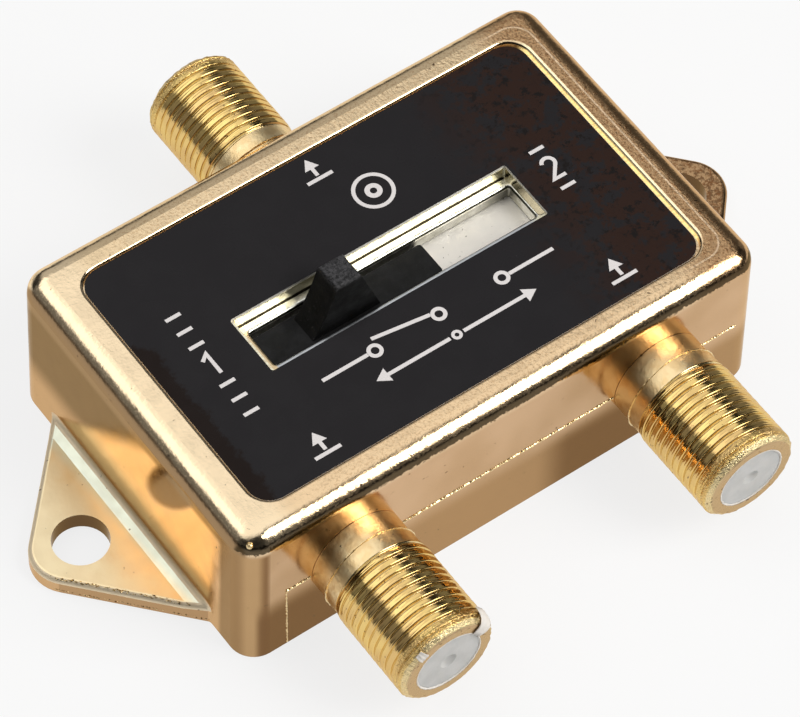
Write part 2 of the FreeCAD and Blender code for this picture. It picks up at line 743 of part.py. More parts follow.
def bridge_clip(y):
    """A bowed strip that joins two neighbouring terminals."""
    half = slide_travel / 2
    r, t = clip_bow_radius, clip_thickness
    bow_z = clip_bottom + r
    s = math.sqrt(0.5)
    shoulder = half - 2.2 * r
    z_top = clip_top

    def point(x, z):
        return Vector(slider_centre + x, 0, z)
    edges = []
    start = point(-half - r, bow_z)
    bottom_left = point(-half, clip_bottom)
    rise_left = point(-half + r * s, bow_z - r * s)
    edges.append(Part.Arc(start, point(-half - r * s, bow_z - r * s), bottom_left).toShape())
    edges.append(Part.Arc(bottom_left, point(-half + r * math.sin(math.radians(22.5)),
                                             bow_z - r * math.cos(math.radians(22.5))),
                          rise_left).toShape())
    under_left, under_right = point(-shoulder, z_top - t), point(shoulder, z_top - t)
    rise_right = point(half - r * s, bow_z - r * s)
    edges.append(Part.LineSegment(rise_left, under_left).toShape())
    edges.append(Part.LineSegment(under_left, under_right).toShape())
    edges.append(Part.LineSegment(under_right, rise_right).toShape())
    bottom_right = point(half, clip_bottom)
    edges.append(Part.Arc(rise_right, point(half - r * math.sin(math.radians(22.5)),
                                            bow_z - r * math.cos(math.radians(22.5))),
                          bottom_right).toShape())
    end = point(half + r, bow_z)
    edges.append(Part.Arc(bottom_right, point(half + r * s, bow_z - r * s), end).toShape())
    inner = r - t
    end_in = point(half + inner, bow_z)
    edges.append(Part.LineSegment(end, end_in).toShape())
    rise_right_in = point(half - inner * s, bow_z - inner * s)
    edges.append(Part.Arc(end_in, point(half, bow_z - inner), rise_right_in).toShape())
    lift = t * 0.4
    over_right, over_left = point(shoulder + lift, z_top), point(-shoulder - lift, z_top)
    edges.append(Part.LineSegment(rise_right_in, over_right).toShape())
    edges.append(Part.LineSegment(over_right, over_left).toShape())
    rise_left_in = point(-half + inner * s, bow_z - inner * s)
    start_in = point(-half - inner, bow_z)
    edges.append(Part.LineSegment(over_left, rise_left_in).toShape())
    edges.append(Part.Arc(rise_left_in, point(-half, bow_z - inner), start_in).toShape())
    edges.append(Part.LineSegment(start_in, start).toShape())
    clip = sheet_profile(Part.Wire(edges), t, clip_width, Vector(0, 1, 0))
    clip.translate(Vector(0, y, 0))
    return clip


def bridge_contacts():
    return Part.makeCompound([bridge_clip(-row_offset), bridge_clip(row_offset)])


def ball_centre():
    return frame_inner_width / 2 - ball_gap - ball_radius


def detent_balls():
    x = slider_centre + ball_offset
    return Part.makeCompound([
        Part.makeSphere(ball_radius, Vector(x, side * ball_centre(), ball_height))
        for side in (-1, 1)])


def detent_spring():
    """Coil spring between the two detent balls."""
    end = ball_centre() - ball_radius - spring_wire_radius
    pitch = 2 * end / spring_turns
    helix = Part.makeHelix(pitch, 2 * end, spring_radius)
    section = Part.makeCircle(spring_wire_radius, Vector(spring_radius, 0, 0), Vector(0, 1, 0))
    coil = Part.Wire(helix).makePipeShell([Part.Wire(section)], True, True)
    coil.rotate(Vector(0, 0, 0), Vector(1, 0, 0), -90)
    coil.translate(Vector(slider_centre + ball_offset, -end, ball_height))
    return coil


# ---- Export -------------------------------------------------------------------------------

def export_all():
    os.makedirs("parts", exist_ok=True)
    nodes = {
        "housing": housing(),
        "face_label": face_label(),
        "bottom_cover": bottom_cover(),
        "switch_frame": switch_frame(),
        "terminal_board": terminal_board(),
        "fixed_terminals": fixed_terminals(),
        "circuit_board": circuit_board(),
        "circuit_tracks": circuit_tracks(),
        "solder_joints": solder_joints(),
        "slider_knob": slider_knob(),
        "shutter_strip": shutter_strip(),
        "contact_carrier": contact_carrier(),
        "bridge_contacts": bridge_contacts(),
        "detent_balls": detent_balls(),
        "detent_spring": detent_spring(),
    }
    for port in ports:
        nodes[port + "_insulator"] = at_port(insulator(), port)
        nodes[port + "_contact"] = at_port(contact(), port)
        nodes[port + "_rear_bush"] = at_port(rear_bush(), port)
    for name, shape in nodes.items():
        shape.exportStep(os.path.join("parts", name + ".step"))


export_all()
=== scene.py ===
import random
from math import asin, atan2, copysign, cos, hypot, pi, radians, sin, tan

import bpy
import numpy as np
from mathutils import Matrix, Vector, noise


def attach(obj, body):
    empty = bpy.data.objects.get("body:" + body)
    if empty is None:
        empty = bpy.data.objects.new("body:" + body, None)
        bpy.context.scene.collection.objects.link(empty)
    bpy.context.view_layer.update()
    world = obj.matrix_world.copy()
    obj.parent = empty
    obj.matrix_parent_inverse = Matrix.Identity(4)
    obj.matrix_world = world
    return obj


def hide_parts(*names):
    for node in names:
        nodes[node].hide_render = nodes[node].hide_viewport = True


# Looks of a coaxial antenna switch. Lengths are in millimetres, turned to metres by MM.
MM = 0.001

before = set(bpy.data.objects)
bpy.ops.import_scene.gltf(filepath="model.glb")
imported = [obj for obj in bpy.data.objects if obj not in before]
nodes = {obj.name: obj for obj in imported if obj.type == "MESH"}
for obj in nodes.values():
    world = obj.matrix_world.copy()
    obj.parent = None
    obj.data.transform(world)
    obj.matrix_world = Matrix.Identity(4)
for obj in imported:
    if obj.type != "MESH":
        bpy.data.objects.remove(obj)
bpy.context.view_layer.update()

# ---- Sizes shared with the solids ----

RIM_LENGTH, RIM_WIDTH, HEIGHT = 53.5, 34.4, 16.8
SIDE_WALL = 1.65
DRAFT = tan(radians(1.0))
LABEL_TOP = 16.55
PORT_HEIGHT = 8.0
PORT_END = RIM_WIDTH / 2 + 13.4
THREAD_START = RIM_WIDTH / 2 + 3.7
THREAD_RADIUS = 4.72
THREAD_DEPTH = 0.27
THREAD_GROOVE = 0.19  # half the groove's width, in turns
THREAD_PITCH = 25.4 / 32
BORE_RADIUS = 3.25
MOUTH_CHAMFER = 0.55
EAR_TIP_X = 33.3
EAR_TIP_RADIUS = 3.5
EAR_THICKNESS = 1.8
EAR_ROOT_HALF_WIDTH = 13.35
EAR_HOLE_X, EAR_HOLE_RADIUS = 32.1, 2.55
RECESS = 46.4, 28.1, 2.2, (0.1, -0.15)  # length, width, corner and centre of the label recess
PORTS = {"in_1": (-15.8, -1), "in_2": (15.8, -1), "out": (0.0, 1)}

# ---- Camera ----

VIEW_AZIMUTH, VIEW_ELEVATION = 217.482, 55.263  # degrees
VIEW_ROLL = 0.03888  # radians
VIEW_DISTANCE = 411.41
VIEW_TARGET = Vector((1.933, 0.764, 0.0))
LENS = 210.4
SENSOR_WIDTH = 36.0
CLIP_START, CLIP_END = 0.01, 10.0  # metres


def direction(azimuth, elevation):
    """A direction by its azimuth from +Y towards +X and its elevation."""
    a, e = radians(azimuth), radians(elevation)
    return Vector((sin(a) * cos(e), cos(a) * cos(e), sin(e)))


def placed(name, data):
    """A new object of the scene that holds this data."""
    made = bpy.data.objects.new(name, data)
    bpy.context.scene.collection.objects.link(made)
    return made


def make_camera():
    """The camera where the photograph was taken from."""
    back = direction(VIEW_AZIMUTH, VIEW_ELEVATION)
    level = Vector((0, 0, 1)).cross(back).normalized()
    upright = back.cross(level)
    right = cos(VIEW_ROLL) * level + sin(VIEW_ROLL) * upright
    up = -sin(VIEW_ROLL) * level + cos(VIEW_ROLL) * upright
    data = bpy.data.cameras.new("camera")
    data.lens = LENS
    data.sensor_width = SENSOR_WIDTH
    data.sensor_fit = "HORIZONTAL"
    data.clip_start, data.clip_end = CLIP_START, CLIP_END
    camera = placed("camera", data)
    turn = Matrix((right, up, back)).transposed().to_4x4()
    camera.matrix_world = Matrix.Translation((VIEW_TARGET + back * VIEW_DISTANCE) * MM) @ turn
    bpy.context.scene.camera = camera


# ---- Materials ----

class Graph:
    """A node tree with short calls for its nodes."""

    def __init__(self, tree):
        self.tree = tree

    def add(self, kind, inputs=(), **settings):
        """A node with these settings and, by name or number, these inputs."""
        node = self.tree.nodes.new(kind)
        for key, value in settings.items():
            setattr(node, key, value)
        for key, value in dict(inputs).items():
            self.put(value, node.inputs[key])
        return node

    def put(self, value, socket):
        if isinstance(value, bpy.types.NodeSocket):
            self.tree.links.new(value, socket)
        else:
            socket.default_value = value

    def math(self, operation, a, b=0.0, clamp=False):
        node = self.add("ShaderNodeMath", {0: a, 1: b}, operation=operation, use_clamp=clamp)
        return node.outputs[0]

    def times(self, product, *factors):
        for factor in factors:
            product = self.math("MULTIPLY", product, factor)
        return product

    def plus(self, total, *terms):
        for term in terms:
            total = self.math("ADD", total, term)
        return total

    def minus(self, a, b):
        return self.math("SUBTRACT", a, b)

    def size(self, value):
        return self.math("ABSOLUTE", value)

    def length(self, a, b):
        """Length of a vector of two parts."""
        squares = [self.math("POWER", part, 2.0) for part in (a, b)]
        return self.math("SQRT", self.plus(*squares))

    def steps(self, value, low, high, first=0.0, last=1.0):
        """A smooth step from first to last as value goes from low to high."""
        ends = {"From Min": low, "From Max": high, "To Min": first, "To Max": last}
        node = self.add("ShaderNodeMapRange", {"Value": value, **ends},
                        interpolation_type="SMOOTHSTEP")
        return node.outputs["Result"]


class Look(Graph):
    """A procedural material in the coordinates of its piece."""

    def __init__(self, name, metallic=0.0):
        self.material = bpy.data.materials.new(name)
        self.material.use_nodes = True
        super().__init__(self.material.node_tree)
        self.shader = self.tree.nodes["Principled BSDF"]
        self.set("Metallic", metallic)
        self.place = self.add("ShaderNodeTexCoord").outputs["Object"]
        self.normal = None

    def axis(self, letter):
        """A coordinate of the piece, in millimetres."""
        split = self.add("ShaderNodeSeparateXYZ", {0: self.place})
        return self.times(split.outputs[letter], 1 / MM)

    def facing(self, letter):
        """A coordinate of the surface's own direction."""
        normal = self.add("ShaderNodeNewGeometry").outputs["Normal"]
        return self.add("ShaderNodeSeparateXYZ", {0: normal}).outputs[letter]

    def grain(self, size, detail=3.0, rough=0.5, stretch=(1, 1, 1), shift=0.0):
        """Noise whose lumps are about this many millimetres wide."""
        mapping = self.add("ShaderNodeMapping", {
            "Vector": self.place, "Location": (shift, shift, shift), "Scale": stretch})
        texture = self.add("ShaderNodeTexNoise", {
            "Vector": mapping.outputs[0], "Scale": 1 / (size * MM), "Detail": detail,
            "Roughness": rough})
        return texture.outputs["Fac"]

    def mottle(self, size, low=0.35, high=0.65, first=0.0, last=1.0, **grain):
        """Noise with two of its levels stretched to two numbers."""
        return self.steps(self.grain(size, **grain), low, high, first, last)

    def blend(self, factor, a, b):
        a, b = (c if isinstance(c, bpy.types.NodeSocket) else (*c, 1) for c in (a, b))
        return self.add("ShaderNodeMix", {0: factor, 6: a, 7: b}, data_type="RGBA").outputs[2]

    def fade(self, value, limits, a, b):
        """One look giving way to another between two limits of a value."""
        return self.blend(self.steps(value, *limits), a, b)

    def set(self, name, value):
        self.put(value, self.shader.inputs[name])

    def colour(self, value):
        self.set("Base Color", value)

    def rough(self, value):
        self.set("Roughness", value)

    def relief(self, height, depth):
        """Bump of this depth in millimetres, on top of any before it."""
        node = self.add("ShaderNodeBump", {"Distance": depth * MM, "Height": height})
        if self.normal is not None:
            self.put(self.normal, node.inputs["Normal"])
        self.normal = node.outputs[0]
        self.set("Normal", self.normal)


def outline_distance(look, length, width, corner, centre=(0.0, 0.0)):
    """Distance outwards from a rounded rectangle seen from above."""
    parts = []
    for letter, size, middle in (("X", length, centre[0]), ("Y", width, centre[1])):
        across = look.size(look.minus(look.axis(letter), middle))
        parts.append(look.minus(across, size / 2 - corner))
    corner_part = look.length(*(look.math("MAXIMUM", part, 0.0) for part in parts))
    side_part = look.math("MINIMUM", look.math("MAXIMUM", *parts), 0.0)
    return look.minus(look.plus(corner_part, side_part), corner)


# ---- Gold plating ----

# Of the rim and what lies on it
GOLD_FRONT = (0.86, 0.63, 0.38)
GOLD_FAR = (0.86, 0.66, 0.41)
# Lightened at the left end as painted highlight
GOLD_LEFT_HIGHLIGHT = (0.94, 0.745, 0.49)
GOLD_RIGHT = (0.66, 0.42, 0.22)
RIM_SPECK = (0.48, 0.28, 0.13)
RUST = (0.30, 0.125, 0.045)
# Painted highlight along the fine crease at the right end
CREASE_HIGHLIGHT = (0.98, 0.72, 0.47)
# Painted dark reflection for the rim's rounded edges
DARK_REFLECTION = (0.052, 0.035, 0.017)
# Painted light: the gap beside the label and the window's edge
GOLD_GAP_LIGHT = (0.98, 0.86, 0.56)  # of the gap beside the label
GOLD_WINDOW_LIGHT = (0.90, 0.86, 0.66)
# Of the walls: two tones, one darker below the parting line as painted shade, one beside the ports
# as painted reflection
GOLD_WALL = (0.66, 0.45, 0.28)
GOLD_WARM = (0.56, 0.37, 0.215)
GOLD_LOW_SHADE = (0.43, 0.265, 0.135)
GOLD_SHADE = (0.20, 0.105, 0.048)
# Of the left wall and its near corner: painted reflections, highlight and shade
DARK_FLOOR_REFLECTION = (0.225, 0.135, 0.062)
EAR_REFLECTION = (1.0, 0.66, 0.38)
GOLD_UNDER_RIM_REFLECTION = (0.34, 0.22, 0.118)
HOLE_REFLECTION = (0.33, 0.18, 0.07)
CORNER_BROWN = (0.33, 0.20, 0.10)
CORNER_HIGHLIGHT = (0.50, 0.32, 0.16)
CORNER_SHADE = (0.27, 0.150, 0.072)
# Of the ears
GOLD_EAR = (1.0, 0.82, 0.50)
GOLD_EAR_LOW = (0.97, 0.76, 0.45)
GOLD_EAR_EDGE = (0.90, 0.78, 0.58)
EAR_FAR = (0.95, 0.79, 0.50)
EAR_ROOT_REFLECTION = (0.74, 0.77, 0.63)
EAR_SPECK = (0.17, 0.085, 0.038)
HOLE_SHADE = (0.14, 0.078, 0.036)
# Of the ports
GOLD_BOSS = (0.98, 0.77, 0.44)
GOLD_BOSS_LOW = (0.90, 0.66, 0.34)
GOLD_RICH = (0.84, 0.60, 0.22)
GOLD_DEEP = (0.74, 0.50, 0.20)
GOLD_GROOVE_LIGHT = (0.82, 0.66, 0.36)
GOLD_MOUTH = (0.56, 0.40, 0.225)
# Of all the plating: specks, and the tint at a grazing angle
GOLD_SPECK = (0.16, 0.10, 0.055)
GOLD_EDGE = (0.92, 0.78, 0.60, 1)

# Where one look gives way to another, in millimetres: none of it, all of it
RIM_TOP = HEIGHT - 2.1, HEIGHT - 1.0
BELOW_PARTING = PORT_HEIGHT + 0.1, PORT_HEIGHT - 2.5
SHADE_HEIGHT = PORT_HEIGHT + 0.2, PORT_HEIGHT - 3.0
SHADE_START, SHADE_END = (-13.0, -9.0), (0.0, -0.5)  # along X from a front port's axis
RIGHT_END = 18.5, 22.8
LEFT_END = -20.5, -23.0
OFF_RECESS = 0.24, 0.32
WINDOW_WIDTH, WINDOW_LENGTH = (3.9, 3.7), (16.0, 15.0)
GAP_START, GAP_HALF, GAP_FLOOR = (22.7, 22.8), (13.2, 12.4), (16.0, 16.1)
CORNER_PLACE = -13.0, -13.8
BELOW_RIM = HEIGHT - 1.6, HEIGHT - 2.2
BEYOND_WALL = 26.9, 27.1
EAR_FAR_PART = -7.0, 3.0
EAR_ROOT = 29.1, 27.9
EAR_ROOT_LEAN = 0.055  # of the pale root, along X for each millimetre of Y
HOLE_WALL = EAR_HOLE_RADIUS + 0.12, EAR_HOLE_RADIUS + 0.06
SPECKLED = -21.0, -16.0
# The left wall is brown above a slanting line, a painted reflection of the shaded floor, and has a
# round painted reflection where it mirrors the ear's hole
BROWN_SLANT, BROWN_LINE = 1.16, (15.6, 12.6)
HOLE_REFLECTION_SLANT, HOLE_REFLECTION_RISE, HOLE_REFLECTION_AWAY = 0.55, 0.422, 5.2
HOLE_REFLECTION_RADIUS = 2.8, 2.1
FOOT_REFLECTION = 7.5, 3.5
UNDER_RIM = 13.4, 14.4
CREASE_INSET = 2.2  # of the fine crease at the right end, from the rim's outline
CREASE_CORNER = 2.0
CREASE_WIDTH = 0.12, 0.04
# Painted dark reflection on the rim's front, right and left: the upward lean at which it starts,
# is full, fades and ends, and how much it covers
DARK_REFLECTION_BANDS = ((0.19, 0.26, 0.54, 0.62, 0.92), (0.86, 0.90, 0.985, 0.995, 0.55),
                 (0.62, 0.70, 0.74, 0.82, 0.40))
DARK_REFLECTION_HEIGHT = HEIGHT - 2.1, HEIGHT - 1.8
TORN = 0.4  # raggedness of the bands' edges


def rim_tone(look, right, place, on_top, right_part):
    """Plating of the walls and rim, creamy at the left with painted highlight, tan at the right."""
    tone = look.fade(place, (-12.0, 12.0), GOLD_FRONT, GOLD_FAR)
    # The left end is lightened: painted highlight
    tone = look.fade(right, LEFT_END, tone, GOLD_LEFT_HIGHLIGHT)
    tone = look.blend(right_part, tone, GOLD_RIGHT)
    walls = look.blend(look.mottle(9.0, detail=2.0), GOLD_WARM, GOLD_WALL)
    # Painted shade: the walls darker below the parting line
    walls = look.fade(look.axis("Z"), BELOW_PARTING, walls, GOLD_LOW_SHADE)
    return look.blend(on_top, walls, tone)


def left_wall_tone(look, height, place):
    """The left wall in painted reflection: warm low down, brown at its far upper corner, with a
    round patch.
    """
    low = look.steps(look.plus(look.times(height, BROWN_SLANT), place), *BROWN_LINE)
    # Painted reflections: of the lit ear low down, of the shaded floor above the slanting line
    tone = look.blend(low, DARK_FLOOR_REFLECTION, EAR_REFLECTION)
    above_ear = look.minus(height, EAR_THICKNESS)
    # A round patch of painted reflection where the wall mirrors the ear's hole
    from_hole_reflection = look.length(look.minus(look.times(above_ear, HOLE_REFLECTION_RISE), HOLE_REFLECTION_AWAY),
                             look.plus(place, look.times(above_ear, HOLE_REFLECTION_SLANT)))
    tone = look.fade(from_hole_reflection, HOLE_REFLECTION_RADIUS, tone, HOLE_REFLECTION)
    # Painted darker reflection at the foot, in the right end's gold, and under the rim
    tone = look.fade(height, FOOT_REFLECTION, tone, GOLD_RIGHT)
    return look.fade(height, UNDER_RIM, tone, GOLD_UNDER_RIM_REFLECTION)


def ear_tone(look, right, place):
    """Plating of the ears: cream on the left one with a pale root of painted reflection, rusty on
    the right one.
    """
    left = look.blend(look.mottle(2.2), GOLD_EAR, GOLD_EAR_LOW)
    left = look.fade(place, EAR_FAR_PART, left, EAR_FAR)
    leaned = look.minus(look.size(right), look.times(place, EAR_ROOT_LEAN))
    # The pale root is a painted reflection of the wall
    left = look.fade(leaned, EAR_ROOT, left, EAR_ROOT_REFLECTION)
    patches = look.mottle(0.5, 0.46, 0.56, detail=4.0, rough=0.75)
    spotted = look.blend(look.times(patches, 0.8), GOLD_RIGHT, EAR_SPECK)
    return look.fade(right, (0.0, 1.0), left, spotted)


def port_distance(look):
    """Distance from the nearest port's axis."""
    across = look.size(look.axis("X"))
    across = look.math("MINIMUM", across, look.size(look.minus(across, PORTS["in_2"][0])))
    return look.length(across, look.minus(look.axis("Z"), PORT_HEIGHT))


def casting_gold():
    """Gold plating on the cast housing: speckled rim, soft walls, dark grainy edge bands of painted
    reflection.
    """
    look = Look("casting_gold", metallic=1.0)
    height, right, place = look.axis("Z"), look.axis("X"), look.axis("Y")
    up, east, north = look.facing("Z"), look.facing("X"), look.facing("Y")
    away_x, away_y = look.size(right), look.size(place)
    fine = look.grain(0.28, detail=4.0, rough=0.7)
    peel = look.grain(0.42, rough=0.6)
    on_top = look.steps(height, *RIM_TOP)
    off_recess = look.steps(outline_distance(look, *RECESS), *OFF_RECESS)
    right_part = look.times(off_recess, look.steps(right, *RIGHT_END))
    right_side = look.times(right_part, on_top)
    tone = rim_tone(look, right, place, on_top, right_part)
    tone = look.fade(east, (-0.70, -0.82), tone, left_wall_tone(look, height, place))
    # The near left corner, painted light and shade by its facing: brown, a lighter stripe of
    # painted highlight, then dark
    turned = look.fade(east, (-0.98, -0.72), CORNER_BROWN, CORNER_HIGHLIGHT)
    turned = look.fade(east, (-0.50, -0.18), turned, CORNER_SHADE)
    at_corner = look.times(look.steps(place, *CORNER_PLACE), look.steps(east, -0.02, -0.16),
                           look.steps(height, *BELOW_RIM))
    tone = look.blend(at_corner, tone, turned)
    # The window's edge and the gap beside the label are painted bright: painted light against their
    # shade
    in_window = look.times(look.steps(away_y, *WINDOW_WIDTH), look.steps(away_x, *WINDOW_LENGTH))
    tone = look.blend(in_window, tone, GOLD_WINDOW_LIGHT)
    gap = look.times(look.steps(right, *GAP_START), look.minus(1.0, off_recess),
                     look.steps(away_y, *GAP_HALF), look.steps(height, *GAP_FLOOR))
    tone = look.blend(gap, tone, GOLD_GAP_LIGHT)
    # Painted reflection of the barrels: the front wall is darker left of each port,
    # below the parting line
    for port in ("in_1", "in_2"):
        beside = look.minus(right, PORTS[port][0])
        shade = look.times(look.steps(beside, *SHADE_START), look.steps(beside, *SHADE_END),
                           look.steps(height, *SHADE_HEIGHT), look.steps(north, -0.8, -0.95), 0.95)
        tone = look.blend(shade, tone, GOLD_SHADE)
    # Bosses and ears
    wall = RIM_WIDTH / 2 + HEIGHT * DRAFT
    on_boss = look.steps(look.plus(away_y, look.times(height, DRAFT)), wall + 0.02, wall + 0.06)
    boss = look.blend(look.mottle(1.2, 0.4, 0.6, detail=2.0), GOLD_BOSS, GOLD_BOSS_LOW)
    tone = look.blend(on_boss, tone, boss)
    beyond = look.steps(away_x, *BEYOND_WALL)
    on_ear = look.times(beyond, look.steps(up, 0.90, 0.96))
    tone = look.blend(on_ear, tone, ear_tone(look, right, place))
    on_edge = look.times(beyond, look.steps(up, 0.97, 0.92), look.steps(up, 0.04, 0.12),
                         look.steps(right, 1.0, 0.0))
    tone = look.blend(on_edge, tone, GOLD_EAR_EDGE)
    # Painted shade on the wall inside each ear's hole
    from_hole = look.length(look.minus(away_x, EAR_HOLE_X), place)
    in_hole = look.times(look.steps(from_hole, *HOLE_WALL), look.steps(up, 0.5, 0.3))
    tone = look.blend(in_hole, tone, HOLE_SHADE)
    # Rust on everything that faces up at the right end, and sparse dark specks
    rusty = look.times(look.steps(fine, 0.48, 0.60), look.steps(up, 0.90, 0.99), right_part, 0.75)
    tone = look.blend(rusty, tone, RUST)
    speckle = look.times(look.mottle(0.24, 0.50, 0.60, rough=0.7),
                         look.steps(up, 0.90, 0.98), on_top, look.steps(right, *SPECKLED), 0.42)
    tone = look.blend(speckle, tone, RIM_SPECK)
    specks = look.times(look.mottle(0.55, 0.69, 0.75),
                        look.mottle(4.0, 0.42, 0.60, shift=0.3, detail=2.0))
    tone = look.blend(specks, tone, GOLD_SPECK)
    # Bands of painted dark reflection on the rounded rim, each with a torn edge
    lean = look.plus(up, look.times(look.minus(fine, 0.5), TORN))
    sides = look.times(north, -1.0), east, look.times(east, -1.0)
    for side, (first, full, fade, end, cover) in zip(sides, DARK_REFLECTION_BANDS):
        band = look.times(look.steps(lean, first, full), look.steps(lean, end, fade),
                          look.steps(side, 0.12, 0.30), look.steps(height, *DARK_REFLECTION_HEIGHT), cover)
        tone = look.blend(band, tone, DARK_REFLECTION)
    line = look.size(outline_distance(look, RIM_LENGTH - 2 * CREASE_INSET,
                                      RIM_WIDTH - 2 * CREASE_INSET, CREASE_CORNER))
    # The fine crease is drawn as a painted highlight line
    crease = look.times(look.steps(line, *CREASE_WIDTH), right_side)
    look.colour(look.blend(crease, tone, CREASE_HIGHLIGHT))
    look.set("Specular Tint", GOLD_EDGE)
    flat_right = look.times(right_side, look.steps(up, 0.88, 0.96))
    look.rough(look.plus(look.mottle(1.8, 0.3, 0.7, 0.12, 0.22),
                         look.times(flat_right, 0.08), look.times(on_boss, 0.18),
                         look.times(on_ear, 0.16), look.times(on_edge, 0.45)))
    look.relief(look.times(peel, look.plus(on_top, flat_right)), 0.020)
    look.relief(look.times(fine, flat_right), 0.03)
    look.relief(look.times(peel, look.minus(1.0, on_top)), 0.006)
    look.relief(look.times(peel, on_boss), 0.030)
    look.relief(look.grain(1.6, detail=2.0), 0.005)
    return look.material


GROOVE_WALL = THREAD_RADIUS - 0.05, THREAD_RADIUS - 0.16
LIP = PORT_END - 0.12, PORT_END - 0.04
WORN_MOUTH = PORT_END - 1.9, PORT_END - 0.9


def thread_gold():
    """Brighter, yellower plating on the threads, worn at the mouth."""
    look = Look("thread_gold", metallic=1.0)
    out = look.size(look.axis("Y"))
    lip = look.steps(out, *LIP)
    tone = look.blend(look.mottle(2.5, detail=2.0), GOLD_RICH, GOLD_DEEP)
    # Paler in the grooves: painted light against their deep coloured inter-reflections
    tone = look.fade(port_distance(look), GROOVE_WALL, tone, GOLD_GROOVE_LIGHT)
    tone = look.blend(lip, tone, GOLD_MOUTH)
    look.colour(look.blend(look.mottle(0.4, 0.66, 0.74), tone, GOLD_SPECK))
    look.set("Specular Tint", GOLD_EDGE)
    look.rough(look.plus(look.mottle(1.0, 0.3, 0.7, 0.08, 0.17), look.times(lip, 0.14)))
    worn = look.times(look.steps(out, *WORN_MOUTH), look.minus(1.0, look.times(lip, 0.85)))
    look.relief(look.times(look.grain(0.30, rough=0.75), worn), 0.15)
    look.relief(look.grain(0.35), 0.010)
    return look.material


def burr_gold():
    """Bare bright metal of the casting's flash."""
    look = Look("burr_gold", metallic=1.0)
    look.colour(look.blend(look.grain(0.5, detail=2.0), (0.92, 0.74, 0.42), (0.74, 0.52, 0.25)))
    look.rough(look.mottle(0.4, 0.3, 0.7, 0.18, 0.35, detail=2.0))
    look.relief(look.grain(0.2, detail=2.0), 0.03)
    return look.material


# ---- Other materials ----

LABEL_FACE = (0.0135, 0.0120, 0.0135)
LABEL_BROWN = (0.024, 0.0095, 0.0055)
LABEL_SMUDGE = (0.0065, 0.0040, 0.0035)
LABEL_LEFT_DARK = (0.0075, 0.0025, 0.0010)
LABEL_DUST = (0.10, 0.09, 0.10)
LABEL_CUT = (0.80, 0.78, 0.72)
BROWNED_END = 9.0, 18.0
DARK_LEFT_END = -19.6, -20.3
DARK_END_FAR = 3.0, 8.0  # where the dark strip along the left edge runs out, along Y


def label_black():
    """Printed black label: a gloss face, brown blotches at the right, a dark left edge."""
    look = Look("label_black")
    right = look.axis("X")
    near_end = look.steps(right, *BROWNED_END)
    brown = look.times(look.mottle(2.8, 0.44, 0.52, detail=5.0, rough=0.75), near_end)
    face = look.blend(brown, LABEL_FACE, LABEL_BROWN)
    smudge = look.times(look.mottle(1.1, 0.54, 0.60, detail=5.0, rough=0.8, shift=0.2), near_end)
    face = look.blend(smudge, face, LABEL_SMUDGE)
    smear = look.times(look.grain(1.3, detail=5.0, rough=0.75), 3.0)
    left_end = look.plus(right, smear, look.steps(look.axis("Y"), *DARK_END_FAR, 0.0, 3.0))
    face = look.fade(left_end, DARK_LEFT_END, face, LABEL_LEFT_DARK)
    dust = look.times(look.mottle(0.5, 0.80, 0.84, detail=2.0), 0.5)
    face = look.blend(dust, face, LABEL_DUST)
    look.colour(look.fade(look.facing("Z"), (0.6, 0.3), face, LABEL_CUT))
    look.rough(look.mottle(3.0, 0.3, 0.7, 0.22, 0.34))
    look.set("Specular IOR Level", 0.16)
    look.relief(look.grain(1.2, detail=2.0), 0.002)
    return look.material


def print_white():
    """Screen print on the label."""
    look = Look("print_white")
    look.colour(look.blend(look.grain(0.4), (0.84, 0.80, 0.79), (0.76, 0.72, 0.71)))
    look.rough(0.5)
    look.relief(look.grain(0.3, detail=2.0), 0.003)
    return look.material


def plain_metal(name, light, dark, low, high):
    """A metal in two tones, its roughness between low and high."""
    look = Look(name, metallic=1.0)
    look.colour(look.blend(look.mottle(3.0), dark, light))
    look.rough(look.mottle(1.0, 0.3, 0.7, low, high))
    look.relief(look.grain(0.4), 0.004)
    return look.material


def plain_matt(name, light, dark):
    look = Look(name)
    look.colour(look.blend(look.mottle(2.0), dark, light))
    look.rough(look.mottle(1.0, 0.3, 0.7, 0.4, 0.6, detail=2.0))
    look.relief(look.grain(0.3), 0.01)
    return look.material


KNOB_TOP = 19.3, 19.75
# Of the switch frame: ledge, left end of painted gold reflection, and the foot's painted shadow,
# the shade and the painted dark band of the slot's sides
LEDGE = -1.7, -1.9
GOLD_REFLECTION_END = -13.2, -13.4
FOOT_SHADOW_PLACE, FOOT_SHADOW_HEIGHT = (2.78, 2.84), (14.6, 14.8)
SLOT_SHADE = 14.50, 14.42
DARK_BAND_TOP, DARK_BAND_BOTTOM, DARK_BAND_PLACE = (14.84, 14.80), (14.64, 14.58), (2.3, 2.2)


def knob_black():
    """Moulded black grip, rubbed grey on its top and dusty on its flanks."""
    look = Look("knob_black")
    rubbed = look.steps(look.axis("Z"), *KNOB_TOP)
    patches = look.mottle(0.26, 0.36, 0.66, detail=4.0, rough=0.8)
    body = look.blend(look.mottle(1.5, 0.4, 0.6), (0.0035, 0.0035, 0.0035), (0.0075, 0.0075, 0.008))
    dust = look.mottle(0.35, 0.58, 0.72, detail=4.0, rough=0.7)
    dusty = look.steps(look.facing("X"), -0.3, -0.6, 0.25, 0.9)
    body = look.blend(look.times(dust, dusty), body, (0.040, 0.040, 0.041))
    look.colour(look.blend(look.times(rubbed, patches), body, (0.072, 0.070, 0.074)))
    look.rough(look.mottle(0.8, 0.3, 0.7, 0.48, 0.65, detail=2.0))
    look.set("Specular IOR Level", 0.25)
    look.relief(look.grain(0.2, detail=4.0, rough=0.7), 0.03)
    return look.material


